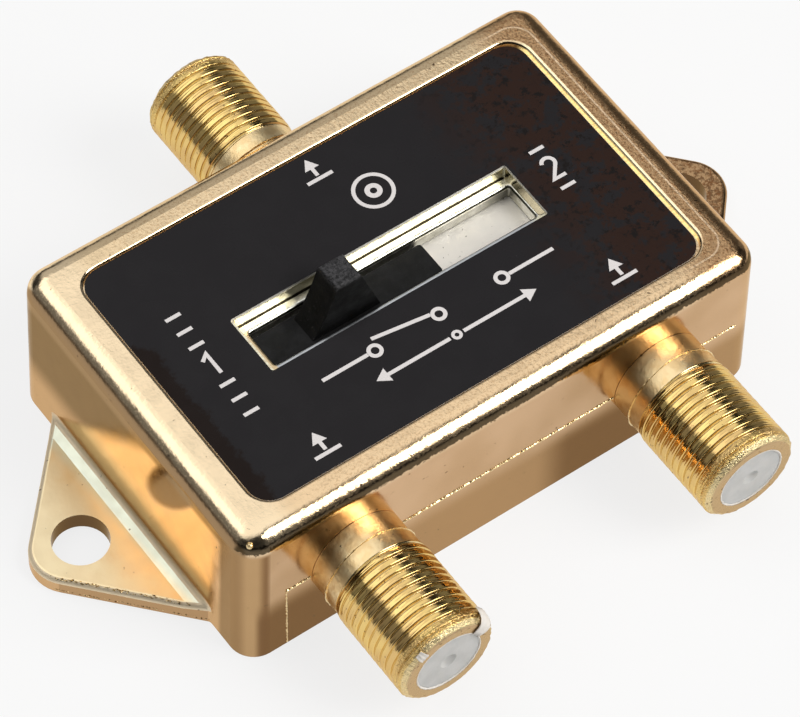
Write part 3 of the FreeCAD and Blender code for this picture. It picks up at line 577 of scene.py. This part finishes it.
def frame_tin():
    """Tinned switch frame: satin ledge, painted shade, shadow and reflections along the slot."""
    look = Look("frame_tin", metallic=1.0)
    tone = look.blend(look.mottle(1.6, 0.38, 0.62, detail=4.0, rough=0.65),
                      (0.64, 0.62, 0.50), (0.93, 0.92, 0.83))
    place, height, along = look.axis("Y"), look.axis("Z"), look.axis("X")
    ledge = look.blend(look.grain(0.8, detail=2.0), (0.55, 0.57, 0.59), (0.74, 0.76, 0.79))
    tone = look.fade(place, LEDGE, tone, ledge)
    # The left end: painted reflection of the gold casting
    tone = look.fade(along, GOLD_REFLECTION_END, tone, (0.86, 0.66, 0.40))
    across = look.size(place)
    # Painted shadow on the ledge where the casting's wall stands on it
    foot = look.times(look.steps(across, *FOOT_SHADOW_PLACE), look.steps(height, *FOOT_SHADOW_HEIGHT))
    in_slot = look.steps(look.size(look.facing("Y")), 0.5, 0.9)
    shade = look.times(in_slot, look.steps(height, *SLOT_SHADE), 0.75)
    tone = look.blend(shade, tone, (0.20, 0.20, 0.18))
    # A painted dark band on the slot's rolled sides: their shade and the reflected black skirt
    seam = look.minus(look.steps(height, *DARK_BAND_TOP), look.steps(height, *DARK_BAND_BOTTOM))
    seam = look.times(seam, look.steps(across, *DARK_BAND_PLACE))
    tone = look.blend(seam, tone, (0.10, 0.10, 0.08))
    look.colour(look.blend(foot, tone, (0.02, 0.017, 0.012)))
    look.rough(look.mottle(0.9, 0.3, 0.7, 0.28, 0.42))
    look.relief(look.grain(0.5, detail=4.0, stretch=(0.3, 1, 1)), 0.02)
    return look.material


def strip_steel():
    """Satin shutter strip with a few dark flecks."""
    look = Look("strip_steel", metallic=0.8)
    tone = look.blend(look.mottle(2.0), (0.93, 0.89, 0.83), (0.97, 0.93, 0.87))
    flecks = look.mottle(0.35, 0.68, 0.74)
    look.colour(look.blend(look.times(flecks, 0.8), tone, (0.25, 0.22, 0.19)))
    look.rough(look.mottle(1.0, 0.3, 0.7, 0.50, 0.60))
    look.relief(look.grain(0.5, detail=4.0, stretch=(0.2, 1, 1)), 0.008)
    return look.material


def insert_white():
    """Waxy white polyethylene."""
    look = Look("insert_white")
    look.colour(look.blend(look.mottle(1.6), (0.58, 0.575, 0.555), (0.66, 0.65, 0.63)))
    look.rough(look.mottle(0.8, 0.3, 0.7, 0.35, 0.5, detail=2.0))
    look.set("Subsurface Weight", 0.6)
    look.set("Subsurface Radius", (1.0, 0.9, 0.8))
    look.set("Subsurface Scale", 1.1 * MM)
    look.relief(look.grain(1.0), 0.03)
    return look.material


FLOOR_LIFT = 0.8  # share of the floor that shows as plain white paper
FLOOR_LIGHT_FALLOFF = 70.0, 300.0
FLOOR_HALF, FLOOR_HEIGHT = 1500.0, -0.01


def floor_paper():
    """Pale paper that keeps a soft shadow, shows white in the gold's reflections, and greys far out
    as painted fall-off of light.
    """
    look = Look("floor_paper")
    # Greyer with distance: a painted fall-off of light, also in the paper's white
    far = look.steps(look.length(look.axis("X"), look.axis("Y")), *FLOOR_LIGHT_FALLOFF)
    near = look.blend(look.grain(60.0, detail=2.0), (0.80, 0.80, 0.80), (0.82, 0.82, 0.82))
    look.colour(look.blend(far, near, (0.36, 0.36, 0.36)))
    look.rough(0.9)
    look.set("Specular IOR Level", 0.0)
    path = look.add("ShaderNodeLightPath").outputs
    seen = look.math("ADD", look.plus(path["Is Camera Ray"], path["Is Glossy Ray"]),
                     path["Is Transmission Ray"], clamp=True)
    paper = look.blend(far, (1.0, 1.0, 1.0), (0.40, 0.40, 0.40))
    white = look.add("ShaderNodeEmission", {"Color": paper}).outputs[0]
    lift = look.times(seen, FLOOR_LIFT)
    mix = look.add("ShaderNodeMixShader", {0: lift, 1: look.shader.outputs[0], 2: white})
    look.put(mix.outputs[0], look.tree.nodes["Material Output"].inputs["Surface"])
    return look.material


# ---- Mesh helpers ----

def piece(name, points, faces, material, body="switch_body", smooth=False):
    """A mesh object from millimetre points, riding on a body of the frame."""
    mesh = bpy.data.meshes.new(name)
    mesh.from_pydata([[c * MM for c in p] for p in points], [], faces)
    mesh.materials.append(material)
    mesh.validate()
    mesh.polygons.foreach_set("use_smooth", [smooth] * len(mesh.polygons))
    made = placed(name, mesh)
    if body:
        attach(made, body)
    return made


class Shapes:
    """Points and faces of several closed shapes gathered in one mesh."""

    def __init__(self):
        self.points = []
        self.faces = []

    def add(self, points, faces):
        base = len(self.points)
        self.points += [tuple(p) for p in points]
        self.faces += [tuple(base + i for i in face) for face in faces]

    def prism(self, outline, z0, z1):
        """An upright prism on an outline that runs counter-clockwise."""
        n = len(outline)
        points = [(x, y, z0) for x, y in outline] + [(x, y, z1) for x, y in outline]
        faces = [tuple(range(n - 1, -1, -1)), tuple(range(n, 2 * n))]
        faces += [(i, (i + 1) % n, n + (i + 1) % n, n + i) for i in range(n)]
        self.add(points, faces)

    def strip(self, left, right, z0, z1, closed=False):
        """An upright band between two rows of points of equal number."""
        n = len(left)
        points = [(x, y, z) for z in (z0, z1) for row in (left, right) for x, y in row]
        faces = []
        for i in range(n if closed else n - 1):
            j = (i + 1) % n
            faces += [(i, j, n + j, n + i), (2 * n + i, 3 * n + i, 3 * n + j, 2 * n + j),
                      (i, 2 * n + i, 2 * n + j, j), (n + i, n + j, 3 * n + j, 3 * n + i)]
        if not closed:
            faces += [(0, n, 3 * n, 2 * n), (n - 1, 3 * n - 1, 4 * n - 1, 2 * n - 1)]
        self.add(points, faces)


# ---- Housing ----

CORE_RADIUS = 4.0  # of a barrel inside its sleeve
MOUTH_SETBACK = 0.2
NEAR = 0.02  # less than the steps between the barrel's rings


def make_housing(material):
    """The cast housing with its barrels slimmed to take the threaded sleeves."""
    mesh = nodes["housing"].data.copy()
    mesh.name = "housing_casting"
    points = np.empty(len(mesh.vertices) * 3)
    mesh.vertices.foreach_get("co", points)
    points = points.reshape(-1, 3) / MM
    for px, side in PORTS.values():
        x, y, z = points.T
        along, radius = side * y, np.hypot(x - px, z - PORT_HEIGHT)
        angle = np.arctan2(z - PORT_HEIGHT, x - px)
        near = radius < THREAD_RADIUS + 0.1
        outer = near & (along > THREAD_START - NEAR) & (radius > CORE_RADIUS - 0.1)
        outer &= (along > THREAD_START + NEAR) | (radius > THREAD_RADIUS - 0.08)
        points[outer, 0] = px + CORE_RADIUS * np.cos(angle[outer])
        points[outer, 2] = PORT_HEIGHT + CORE_RADIUS * np.sin(angle[outer])
        mouth = near & (along > PORT_END - 0.05)
        points[mouth, 1] -= side * MOUTH_SETBACK
    mesh.vertices.foreach_set("co", (points * MM).ravel())
    mesh.update()
    mesh.materials.clear()
    mesh.materials.append(material)
    made = placed("housing_casting", mesh)
    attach(made, "switch_body")
    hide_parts("housing")


THREAD_ROWS = 18  # to each turn
THREAD_COLUMNS = 96
THREAD_CROWN = 0.2
RUN_OUT = 0.7
SLEEVE_START = THREAD_START - 0.06
LIP_ROUNDING = 0.12
WORN_LENGTH = 1.6
SCORE_DEPTH = 0.035  # of the broken scratch along the crest
SCORE_TURN, SCORE_HALF_WIDTH = 0.56, 0.06  # in turns
# Unevenness, as lumps to the millimetre and depth: broad, fine, and worn at the mouth
BROAD, FINE, WORN = (1.3, 0.02), (4.5, 0.006), (2.8, 0.17)


def thread_height(turns):
    """Height of the crowned thread above its root, 0 to 1, by the turns gone."""
    away = 0.5 - abs(turns % 1.0 - 0.5)
    rise = min(away / THREAD_GROOVE, 1.0)
    crown = (0.5 - away) ** 2
    return rise * rise * (3 - 2 * rise) - THREAD_CROWN * crown


def uneven(spot, lumps, depth):
    return noise.noise(spot * lumps) * depth


def score(turns, spot):
    """Depth of the broken scratch along the thread's crest."""
    off = abs(turns % 1.0 - SCORE_TURN)
    patch = noise.noise(Vector((spot.x, spot.y * 0.4, spot.z)) * 1.6)
    broken = min(max(patch * 4 + 0.8, 0.0), 1.0)
    return SCORE_DEPTH * max(0.0, 1 - off / SCORE_HALF_WIDTH) * broken


def sleeve_profile():
    """Rows of (distance along, radius, threaded): hidden start, thread, mouth, back inside."""
    straight = PORT_END - MOUTH_CHAMFER
    length = straight - THREAD_START
    count = int(length / THREAD_PITCH * THREAD_ROWS)
    rows = [(SLEEVE_START, CORE_RADIUS - 0.2, 0), (SLEEVE_START, CORE_RADIUS + 0.1, 0)]
    for i in range(count + 1):
        rows.append((THREAD_START + length * i / count, THREAD_RADIUS, 1))
    for k in range(1, 7):
        cut = MOUTH_CHAMFER * k / 7
        rows.append((straight + cut, THREAD_RADIUS - cut, 1))
    lip = LIP_ROUNDING
    outer, inner = THREAD_RADIUS - MOUTH_CHAMFER, BORE_RADIUS - 0.015
    for k in range(4):
        turn = radians(45 * (1 - k / 3))
        rows.append((PORT_END - lip * (1 - cos(turn)), outer - lip + lip * sin(turn), 0))
    rows.append((PORT_END, (outer + inner) / 2, 0))
    for k in range(4):
        turn = radians(90 * k / 3)
        rows.append((PORT_END - lip * (1 - cos(turn)), inner + lip - lip * sin(turn), 0))
    return rows + [(PORT_END - 0.4, inner, 0), (PORT_END - 0.45, CORE_RADIUS - 0.35, 0)]


def make_sleeve(port, material):
    """A threaded sleeve over one barrel, closed inside the casting."""
    px, side = PORTS[port]
    rows, n = sleeve_profile(), THREAD_COLUMNS
    points = []
    for along, radius, threaded in rows:
        for j in range(n):
            angle = 2 * pi * j / n
            r = radius
            if threaded:
                turns = (along - THREAD_START) / THREAD_PITCH - angle / (2 * pi)
                fade = min(max((along - THREAD_START) / RUN_OUT, 0.0), 1.0)
                rise = thread_height(turns) * (0.55 + 0.45 * fade)
                r = min(radius, THREAD_RADIUS - THREAD_DEPTH * (1 - rise))
                spot = Vector((px + r * cos(angle), along, r * sin(angle)))
                worn = max(0.0, 1 - (PORT_END - along) / WORN_LENGTH)
                r -= score(turns, spot)
                r += uneven(spot, *BROAD)
                r += uneven(spot, *FINE) + uneven(spot, *WORN) * worn
                r = min(r, THREAD_RADIUS)
            points.append((px + side * r * cos(angle), side * along, PORT_HEIGHT + r * sin(angle)))
    faces = []
    for i in range(len(rows)):
        k = (i + 1) % len(rows)
        for j in range(n):
            m = (j + 1) % n
            faces.append((i * n + j, i * n + m, k * n + m, k * n + j))
    made = piece(port + "_thread", points, faces, material, smooth=True)
    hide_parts("housing")


# ---- Label print ----

PRINT_BOTTOM = LABEL_TOP - 0.01
PRINT_TOP = LABEL_TOP + 0.02
PRINT_LINE = 0.36
PORT_MARKS = (0.3, 12.0), (-15.4, -11.5), (15.5, -11.3)
PORT_ARROW, PORT_ARROW_RISE = (2.0, 1.15), 0.25  # length and head
BAR_HALF, BAR_DROP = 1.3, 1.1
COLUMN_ONE, COLUMN_TWO = (-18.3, 0.15), (17.4, 0.45)
DIGIT_HEIGHT = 2.3
TICK_STEP, TICK_HALF = 1.75, 0.75
SYMBOL_PLACE = 0.3, -6.5
CONTACT_X, CONTACT_RADIUS, WIRE_END = 6.6, 0.55, 12.0
BLADE = (-0.65, 0.35), (-6.2, 1.15)
TRAVEL_DROP = 2.6  # from the switch symbol to the arrows of its travel
TRAVEL_ARROW, TRAVEL_ARROW_X = (7.6, 1.2), 4.5
TARGET_PLACE, TARGET_RADIUS = (3.3, 7.2), 1.75


def arc(cx, cy, radius, start, end, count):
    return [(cx + radius * cos(radians(start + (end - start) * i / count)),
             cy + radius * sin(radians(start + (end - start) * i / count)))
            for i in range(count + 1)]


def stroke(shapes, path):
    """A printed line along a path, mitred at its bends."""
    left, right = [], []
    for i, (x, y) in enumerate(path):
        before = path[max(i - 1, 0)]
        after = path[min(i + 1, len(path) - 1)]
        into = Vector((x - before[0], y - before[1]))
        out = Vector((after[0] - x, after[1] - y))
        into = into.normalized() if into.length else out.normalized()
        out = out.normalized() if out.length else into
        middle = (into + out).normalized()
        side = Vector((-middle.y, middle.x)) * (PRINT_LINE / 2 / max(middle.dot(into), 0.5))
        left.append((x + side.x, y + side.y))
        right.append((x - side.x, y - side.y))
    shapes.strip(right, left, PRINT_BOTTOM, PRINT_TOP)


def ring(shapes, cx, cy, radius, width=PRINT_LINE, count=40):
    outer = arc(cx, cy, radius + width / 2, 0, 360, count)[:-1]
    inner = arc(cx, cy, radius - width / 2, 0, 360, count)[:-1]
    shapes.strip(outer, inner, PRINT_BOTTOM, PRINT_TOP, closed=True)


def arrow(shapes, cx, cy, angle, length, head):
    """A solid arrow centred on a point."""
    c, s = cos(radians(angle)), sin(radians(angle))
    tip, neck, tail, half = length / 2, length / 2 - head, -length / 2, PRINT_LINE / 2
    outline = [(tail, -half), (neck, -half), (neck, -head * 0.62), (tip, 0),
               (neck, head * 0.62), (neck, half), (tail, half)]
    shapes.prism([(cx + u * c - v * s, cy + u * s + v * c) for u, v in outline],
                 PRINT_BOTTOM, PRINT_TOP)


def digit_one(shapes, cx, cy):
    h = DIGIT_HEIGHT
    stem = cx + 0.077 * h
    stroke(shapes, [(cx - 0.22 * h, cy + 0.26 * h), (stem, cy + h / 2), (stem, cy - h / 2)])


def digit_two(shapes, cx, cy):
    h = DIGIT_HEIGHT
    r = 0.26 * h
    path = arc(cx, cy + h / 2 - r, r, 165, -35, 14)
    stroke(shapes, path + [(cx - r, cy - h / 2), (cx + r * 1.05, cy - h / 2)])


def port_mark(shapes, x, y):
    """An arrow in the direction of the signal that leaves a short bar."""
    arrow(shapes, x, y + PORT_ARROW_RISE, 90, *PORT_ARROW)
    stroke(shapes, [(x - BAR_HALF, y - BAR_DROP), (x + BAR_HALF, y - BAR_DROP)])


def column(shapes, x, y, digit, ticks):
    """A digit with short ticks above and below it."""
    digit(shapes, x, y)
    for k in range(ticks):
        for side in (-1, 1):
            level = y + side * (DIGIT_HEIGHT + TICK_STEP * k)
            stroke(shapes, [(x - TICK_HALF, level), (x + TICK_HALF, level)])


def switch_symbol(shapes, x, y):
    """Two-way switch drawn as contacts and a blade, over an arrow of its travel."""
    for side in (-1, 1):
        ring(shapes, side * CONTACT_X + x, y, CONTACT_RADIUS)
        wire = CONTACT_X + CONTACT_RADIUS + 0.2
        stroke(shapes, [(side * WIRE_END + x, y), (side * wire + x, y)])
    ring(shapes, x, y, CONTACT_RADIUS)
    stroke(shapes, [(x + u, y + v) for u, v in BLADE])
    level = y - TRAVEL_DROP
    for side, angle in ((-1, 180), (1, 0)):
        arrow(shapes, x + side * TRAVEL_ARROW_X, level, angle, *TRAVEL_ARROW)
    ring(shapes, x, level, 0.35, PRINT_LINE * 0.8, 24)


def make_print(material):
    shapes = Shapes()
    for place in PORT_MARKS:
        port_mark(shapes, *place)
    column(shapes, *COLUMN_ONE, digit_one, 3)
    column(shapes, *COLUMN_TWO, digit_two, 1)
    switch_symbol(shapes, *SYMBOL_PLACE)
    ring(shapes, *TARGET_PLACE, TARGET_RADIUS)
    ring(shapes, *TARGET_PLACE, CONTACT_RADIUS, PRINT_LINE * 1.3)
    piece("label_print", shapes.points, shapes.faces, material)


# ---- Casting flash ----

def beads(shapes, path, size, spread, gap, rng):
    """A row of irregular lumps along a path, each a small closed octahedron."""
    for (ax, ay, az), (bx, by, bz) in zip(path, path[1:]):
        run = Vector((bx - ax, by - ay, bz - az))
        count = max(1, int(run.length / (size * gap)))
        along = run.normalized()
        side = along.cross(Vector((0, 0, 1)))
        side = side.normalized() if side.length > 0.1 else Vector((1, 0, 0))
        up = side.cross(along)
        for i in range(count):
            t = (i + rng.random()) / count
            centre = Vector((ax, ay, az)) + run * t
            centre += side * rng.uniform(-spread, spread) + up * rng.uniform(-spread, spread)
            a, b, c = (size * rng.uniform(0.35, 1.0) for _ in range(3))
            tips = [centre + along * a, centre - along * a, centre + side * b * 0.6,
                    centre - side * b * 0.6, centre + up * c * 0.6, centre - up * c * 0.6]
            shapes.add(tips, [(0, 2, 4), (2, 1, 4), (1, 3, 4), (3, 0, 4),
                              (2, 0, 5), (1, 2, 5), (3, 1, 5), (0, 3, 5)])


def drop(shapes, centre, radius, rows=7, columns=12):
    """A small round drop of metal."""
    x, y, z = centre
    points = [(x, y, z - radius)]
    for i in range(1, rows):
        lean = pi * i / rows
        for j in range(columns):
            turn = 2 * pi * j / columns
            points.append((x + radius * sin(lean) * cos(turn), y + radius * sin(lean) * sin(turn),
                           z - radius * cos(lean)))
    points.append((x, y, z + radius))
    last = len(points) - 1
    faces = []
    for j in range(columns):
        k = (j + 1) % columns
        faces += [(0, 1 + k, 1 + j), (last, last - columns + j, last - columns + k)]
        for i in range(rows - 2):
            a, b = 1 + i * columns, 1 + (i + 1) * columns
            faces.append((a + j, a + k, b + k, b + j))
    shapes.add(points, faces)


def wall_y(z):
    """Distance of a long side's face from the middle at a height."""
    return RIM_WIDTH / 2 + (HEIGHT - z) * DRAFT


def ridge(shapes, path, width, height, rng, closed=False, ragged=0.4):
    """A raised seam along a path, uneven in width and height, as one closed shape."""
    n = len(path)
    points = []
    for i in range(n):
        before = path[(i - 1) % n if closed else max(i - 1, 0)]
        after = path[(i + 1) % n if closed else min(i + 1, n - 1)]
        place, out = Vector(path[i][:3]), Vector(path[i][3:])
        along = (Vector(after[:3]) - Vector(before[:3])).normalized()
        side = along.cross(out).normalized()
        w = width / 2 * (1 + rng.uniform(-ragged, ragged))
        h = height * (1 + rng.uniform(-ragged, ragged))
        points += [place - side * w - out * 0.03, place + side * w - out * 0.03,
                   place + side * w * 0.5 + out * h, place - side * w * 0.5 + out * h]
    faces = []
    for i in range(n if closed else n - 1):
        a, b = 4 * i, 4 * ((i + 1) % n)
        faces += [(a + k, a + (k + 1) % 4, b + (k + 1) % 4, b + k) for k in range(4)]
    if not closed:
        faces += [(3, 2, 1, 0), tuple(4 * (n - 1) + k for k in range(4))]
    shapes.add(points, faces)


def line_path(start, end, out, step):
    """Points with their outward direction at even steps along a straight line."""
    a, b = Vector(start), Vector(end)
    count = max(2, int((b - a).length / step))
    return [(*(a + (b - a) * (i / count)), *out) for i in range(count + 1)]


def ear_edge(z, inset, low, high, count):
    """Points along a part of the left ear's outer edge."""
    root_x = RIM_LENGTH / 2 - SIDE_WALL / 2
    points = []
    dx = EAR_TIP_X - root_x
    reach = hypot(dx, EAR_ROOT_HALF_WIDTH)
    lean = asin(EAR_TIP_RADIUS / reach) + atan2(dx, EAR_ROOT_HALF_WIDTH)
    start = pi / 2 - lean
    r = EAR_TIP_RADIUS - inset
    tangent = (EAR_TIP_X + r * cos(start), r * sin(start))
    root = (root_x - inset * cos(lean), EAR_ROOT_HALF_WIDTH - inset * sin(lean))
    for i in range(count + 1):
        t = low + (high - low) * i / count
        if abs(t) > 1 / 3:
            f = (1 - abs(t)) * 1.5
            x = root[0] + (tangent[0] - root[0]) * f
            y = copysign(root[1] + (tangent[1] - root[1]) * f, t)
        else:
            turn = start * t * 3
            x, y = EAR_TIP_X + r * cos(turn), r * sin(turn)
        points.append((-x, y, z))
    return points


PARTING_RUNS = (-22.9, -20.4), (-11.2, 11.2), (20.4, 24.4)  # beside and between the ports
PARTING_X, PARTING_FOOT = -22.9, 0.2  # where it turns down and ends
PARTING_STEP, PARTING_DOWN_STEP = 0.10, 0.16
PARTING_SIZE, PARTING_DOWN_SIZE = (0.27, 0.08), (0.16, 0.07)  # width and height
RING_SIZE, LIP_SIZE = (0.13, 0.10), (0.24, 0.08)
RIM_DROP, RIM_DROP_RADIUS = (-25.76, -16.21, 16.14), 0.31  # drop of plating on the near corner
RING_RADIUS = 4.55  # rough step between a port's boss and its plain strip
RING_PLACE = RIM_WIDTH / 2 + 2.25
# Burrs of the left ear: height, inset, part of the edge, steps, size, spread and gap
EAR_BURRS = ((EAR_THICKNESS - 0.08, 0.28, -0.97, -0.25, 40, 0.21, 0.12, 0.55),
             (EAR_THICKNESS - 0.08, 0.30, -0.25, 0.10, 20, 0.11, 0.06, 1.2),
             (0.34, 0.02, -0.93, -0.22, 40, 0.15, 0.06, 0.8))


def circle_of(step):
    """Degrees, cosine and sine at even steps round a turn."""
    for degrees in range(0, 360, step):
        yield degrees, cos(radians(degrees)), sin(radians(degrees))


def gold_flash(name, shapes, material):
    made = piece(name, shapes.points, shapes.faces, material)
    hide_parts("housing")


def make_flash(material):
    """Burrs: the parting line, the left ear's torn edges and a ring on each boss."""
    rng = random.Random(5)
    shapes = Shapes()
    z = PORT_HEIGHT
    y = -wall_y(z)
    front = (0, -1, 0)
    for start, end in PARTING_RUNS:
        run = line_path((start, y, z), (end, y, z), front, PARTING_STEP)
        ridge(shapes, run, *PARTING_SIZE, rng)
    foot = PARTING_X, -wall_y(PARTING_FOOT), PARTING_FOOT
    down = line_path((PARTING_X, y, z), foot, front, PARTING_DOWN_STEP)
    ridge(shapes, down, *PARTING_DOWN_SIZE, rng)
    drop(shapes, RIM_DROP, RIM_DROP_RADIUS)
    gold_flash("parting_flash", shapes, material)
    shapes = Shapes()
    for height, inset, low, high, count, size, spread, gap in EAR_BURRS:
        beads(shapes, ear_edge(height, inset, low, high, count), size, spread, gap, rng)
    gold_flash("ear_burr", shapes, material)
    for port, (px, side) in PORTS.items():
        shapes = Shapes()
        circle = []
        for degrees, c, s in circle_of(4):
            sway = 0.06 * sin(radians(3 * degrees)) + rng.uniform(-0.02, 0.02)
            circle.append((px + RING_RADIUS * c, side * (RING_PLACE + sway),
                           PORT_HEIGHT + RING_RADIUS * s, c, 0, s))
        ridge(shapes, circle, *RING_SIZE, rng, closed=True)
        gold_flash(port + "_ring_burr", shapes, material)


# Fold of the squeezed plastic over the first port's mouth: radius, distance along the port
FLAP_PATH = [(3.20, 30.60), (3.60, 30.66), (4.00, 30.68), (4.40, 30.62), (4.72, 30.30),
             (4.84, 29.90), (4.86, 29.50), (4.82, 29.10)]
# Folds: first and last degree, path and thickness
FLAPS = (24, 46, FLAP_PATH, 0.08), (124, 136, FLAP_PATH[2:5], 0.07)


def flap(shapes, px, side, first, last, path, thickness):
    """A thin skin folded along a path over part of a turn."""
    columns = 15
    rows = len(path)
    points, faces = [], []
    for layer in (0, 1):
        for i, (r, along) in enumerate(path):
            before, after = path[max(i - 1, 0)], path[min(i + 1, rows - 1)]
            dr, da = after[0] - before[0], after[1] - before[1]
            length = hypot(dr, da)
            for j in range(columns):
                t = 2 * j / (columns - 1) - 1
                narrow = 1 - 0.35 * (i / (rows - 1)) ** 2
                turn = radians((first + last) / 2 + (last - first) / 2 * t * narrow)
                lift = layer * thickness + 0.03 * sin(7 * t + i)
                r_out = r - da / length * lift
                a_out = along + dr / length * lift
                points.append((px + r_out * cos(turn), side * a_out,
                               PORT_HEIGHT + r_out * sin(turn)))
    n = rows * columns
    for i in range(rows - 1):
        for j in range(columns - 1):
            a = i * columns + j
            faces += [(a, a + 1, a + columns + 1, a + columns),
                      (n + a, n + a + columns, n + a + columns + 1, n + a + 1)]
    border = list(range(columns))
    border += [i * columns + columns - 1 for i in range(1, rows)]
    border += [(rows - 1) * columns + j for j in range(columns - 2, -1, -1)]
    border += [i * columns for i in range(rows - 2, 0, -1)]
    for a, b in zip(border, border[1:] + border[:1]):
        faces.append((b, a, n + a, n + b))
    shapes.add(points, faces)


def make_insert_flash(material):
    """White plastic squeezed out at the mouths: a lip on each insert, a flap on the first."""
    rng = random.Random(11)
    for port, (px, side) in PORTS.items():
        shapes = Shapes()
        circle = []
        for _, c, s in circle_of(5):
            r = BORE_RADIUS - 0.05 + rng.uniform(-0.015, 0.015)
            circle.append((px + r * c, side * (PORT_END - 0.11), PORT_HEIGHT + r * s, 0, side, 0))
        ridge(shapes, circle, *LIP_SIZE, rng, closed=True, ragged=0.3)
        if port == "in_1":
            for fold in FLAPS:
                flap(shapes, px, side, *fold)
        piece(port + "_insert_flash", shapes.points, shapes.faces, material,
              smooth=True)


# ---- Light and floor ----

# Softboxes: name, azimuth, elevation, width, height (metres) and radiance
SOFTBOXES = (("softbox_right", 140, 42.7, 0.46, 0.57, 7.8),
             ("softbox_left", -32, 51.5, 0.80, 0.40, 0.5))
SOFTBOX_DISTANCE = 0.9
SOFTBOX_TINT = (1.0, 0.99, 0.97)


def softbox(name, azimuth, elevation, width, height, radiance):
    data = bpy.data.lights.new(name, "AREA")
    data.shape = "RECTANGLE"
    data.size, data.size_y = width, height
    data.energy = radiance * pi * width * height
    data.color = SOFTBOX_TINT
    lamp = placed(name, data)
    away = direction(azimuth, elevation)
    turn = away.to_track_quat("Z", "Y").to_matrix().to_4x4()
    lamp.matrix_world = Matrix.Translation(away * SOFTBOX_DISTANCE) @ turn


# Glows of the studio: azimuth, elevation, full and outer radius in degrees, radiance
GLOWS = ((-10, 75, 27, 36, 1.05), (-55, 64, 22, 34, 1.05), (-60, 22, 4, 30, 0.25),
         (20, 32, 8, 28, 0.5), (66, 12, 8, 32, 0.20), (158, 9, 4, 18, 0.09))
STUDIO_DARK = 0.025


def make_world():
    """A dark studio with a broad bright ceiling and fainter glows low down."""
    world = bpy.data.worlds.new("studio")
    bpy.context.scene.world = world
    world.use_nodes = True
    graph = Graph(world.node_tree)
    place = graph.add("ShaderNodeTexCoord").outputs["Generated"]
    total = STUDIO_DARK
    for azimuth, elevation, inner, outer, radiance in GLOWS:
        sides = {0: place, 1: direction(azimuth, elevation)}
        dot = graph.add("ShaderNodeVectorMath", sides, operation="DOT_PRODUCT")
        edge, core = cos(radians(outer)), cos(radians(inner))
        glow = graph.steps(dot.outputs["Value"], edge, core, STUDIO_DARK, radiance)
        total = graph.math("MAXIMUM", total, glow)
    graph.put(total, graph.tree.nodes["Background"].inputs["Color"])


def make_floor(material):
    corners = [(x * FLOOR_HALF, y * FLOOR_HALF, FLOOR_HEIGHT)
               for x, y in ((-1, -1), (1, -1), (1, 1), (-1, 1))]
    floor = piece("floor", corners, [(0, 1, 2, 3)], material, body=None)


# ---- Assembly ----

def dress_nodes():
    """Materials for the solids that show as they are."""
    tin = plain_metal("tinned_steel", (0.80, 0.79, 0.70), (0.62, 0.60, 0.50), 0.25, 0.42)
    bright = plain_metal("bright_steel", (0.86, 0.85, 0.82), (0.76, 0.75, 0.72), 0.22, 0.38)
    spring = plain_metal("spring_steel", (0.62, 0.61, 0.59), (0.48, 0.47, 0.46), 0.2, 0.35)
    silver = plain_metal("silvered_brass", (0.88, 0.85, 0.78), (0.75, 0.70, 0.58), 0.2, 0.35)
    copper = plain_metal("copper", (0.80, 0.42, 0.28), (0.62, 0.30, 0.18), 0.25, 0.4)
    solder = plain_metal("solder", (0.72, 0.72, 0.71), (0.55, 0.55, 0.55), 0.25, 0.45)
    white = insert_white()
    phenolic = plain_matt("phenolic_board", (0.30, 0.16, 0.07), (0.22, 0.11, 0.05))
    board = plain_matt("circuit_board", (0.34, 0.22, 0.10), (0.27, 0.17, 0.08))
    plastic = plain_matt("black_plastic", (0.022, 0.022, 0.022), (0.014, 0.014, 0.014))
    looks = {"face_label": label_black(), "bottom_cover": tin, "switch_frame": frame_tin(),
             "terminal_board": phenolic, "fixed_terminals": silver, "circuit_board": board,
             "circuit_tracks": copper, "solder_joints": solder, "slider_knob": knob_black(),
             "shutter_strip": strip_steel(), "contact_carrier": plastic, "bridge_contacts": silver,
             "detent_balls": bright, "detent_spring": spring}
    for port in PORTS:
        looks[port + "_insulator"] = white
        looks[port + "_contact"] = silver
        looks[port + "_rear_bush"] = white
    for name, material in looks.items():
        data = nodes[name].data
        data.materials.clear()
        data.materials.append(material)


def main():
    bpy.context.scene.view_settings.view_transform = "Standard"
    make_camera()
    make_world()
    for row in SOFTBOXES:
        softbox(*row)
    make_floor(floor_paper())
    dress_nodes()
    make_housing(casting_gold())
    gold = thread_gold()
    for port in PORTS:
        make_sleeve(port, gold)
    make_print(print_white())
    make_flash(burr_gold())
    make_insert_flash(plain_matt("flash_white", (0.88, 0.83, 0.77), (0.78, 0.73, 0.66)))


main()
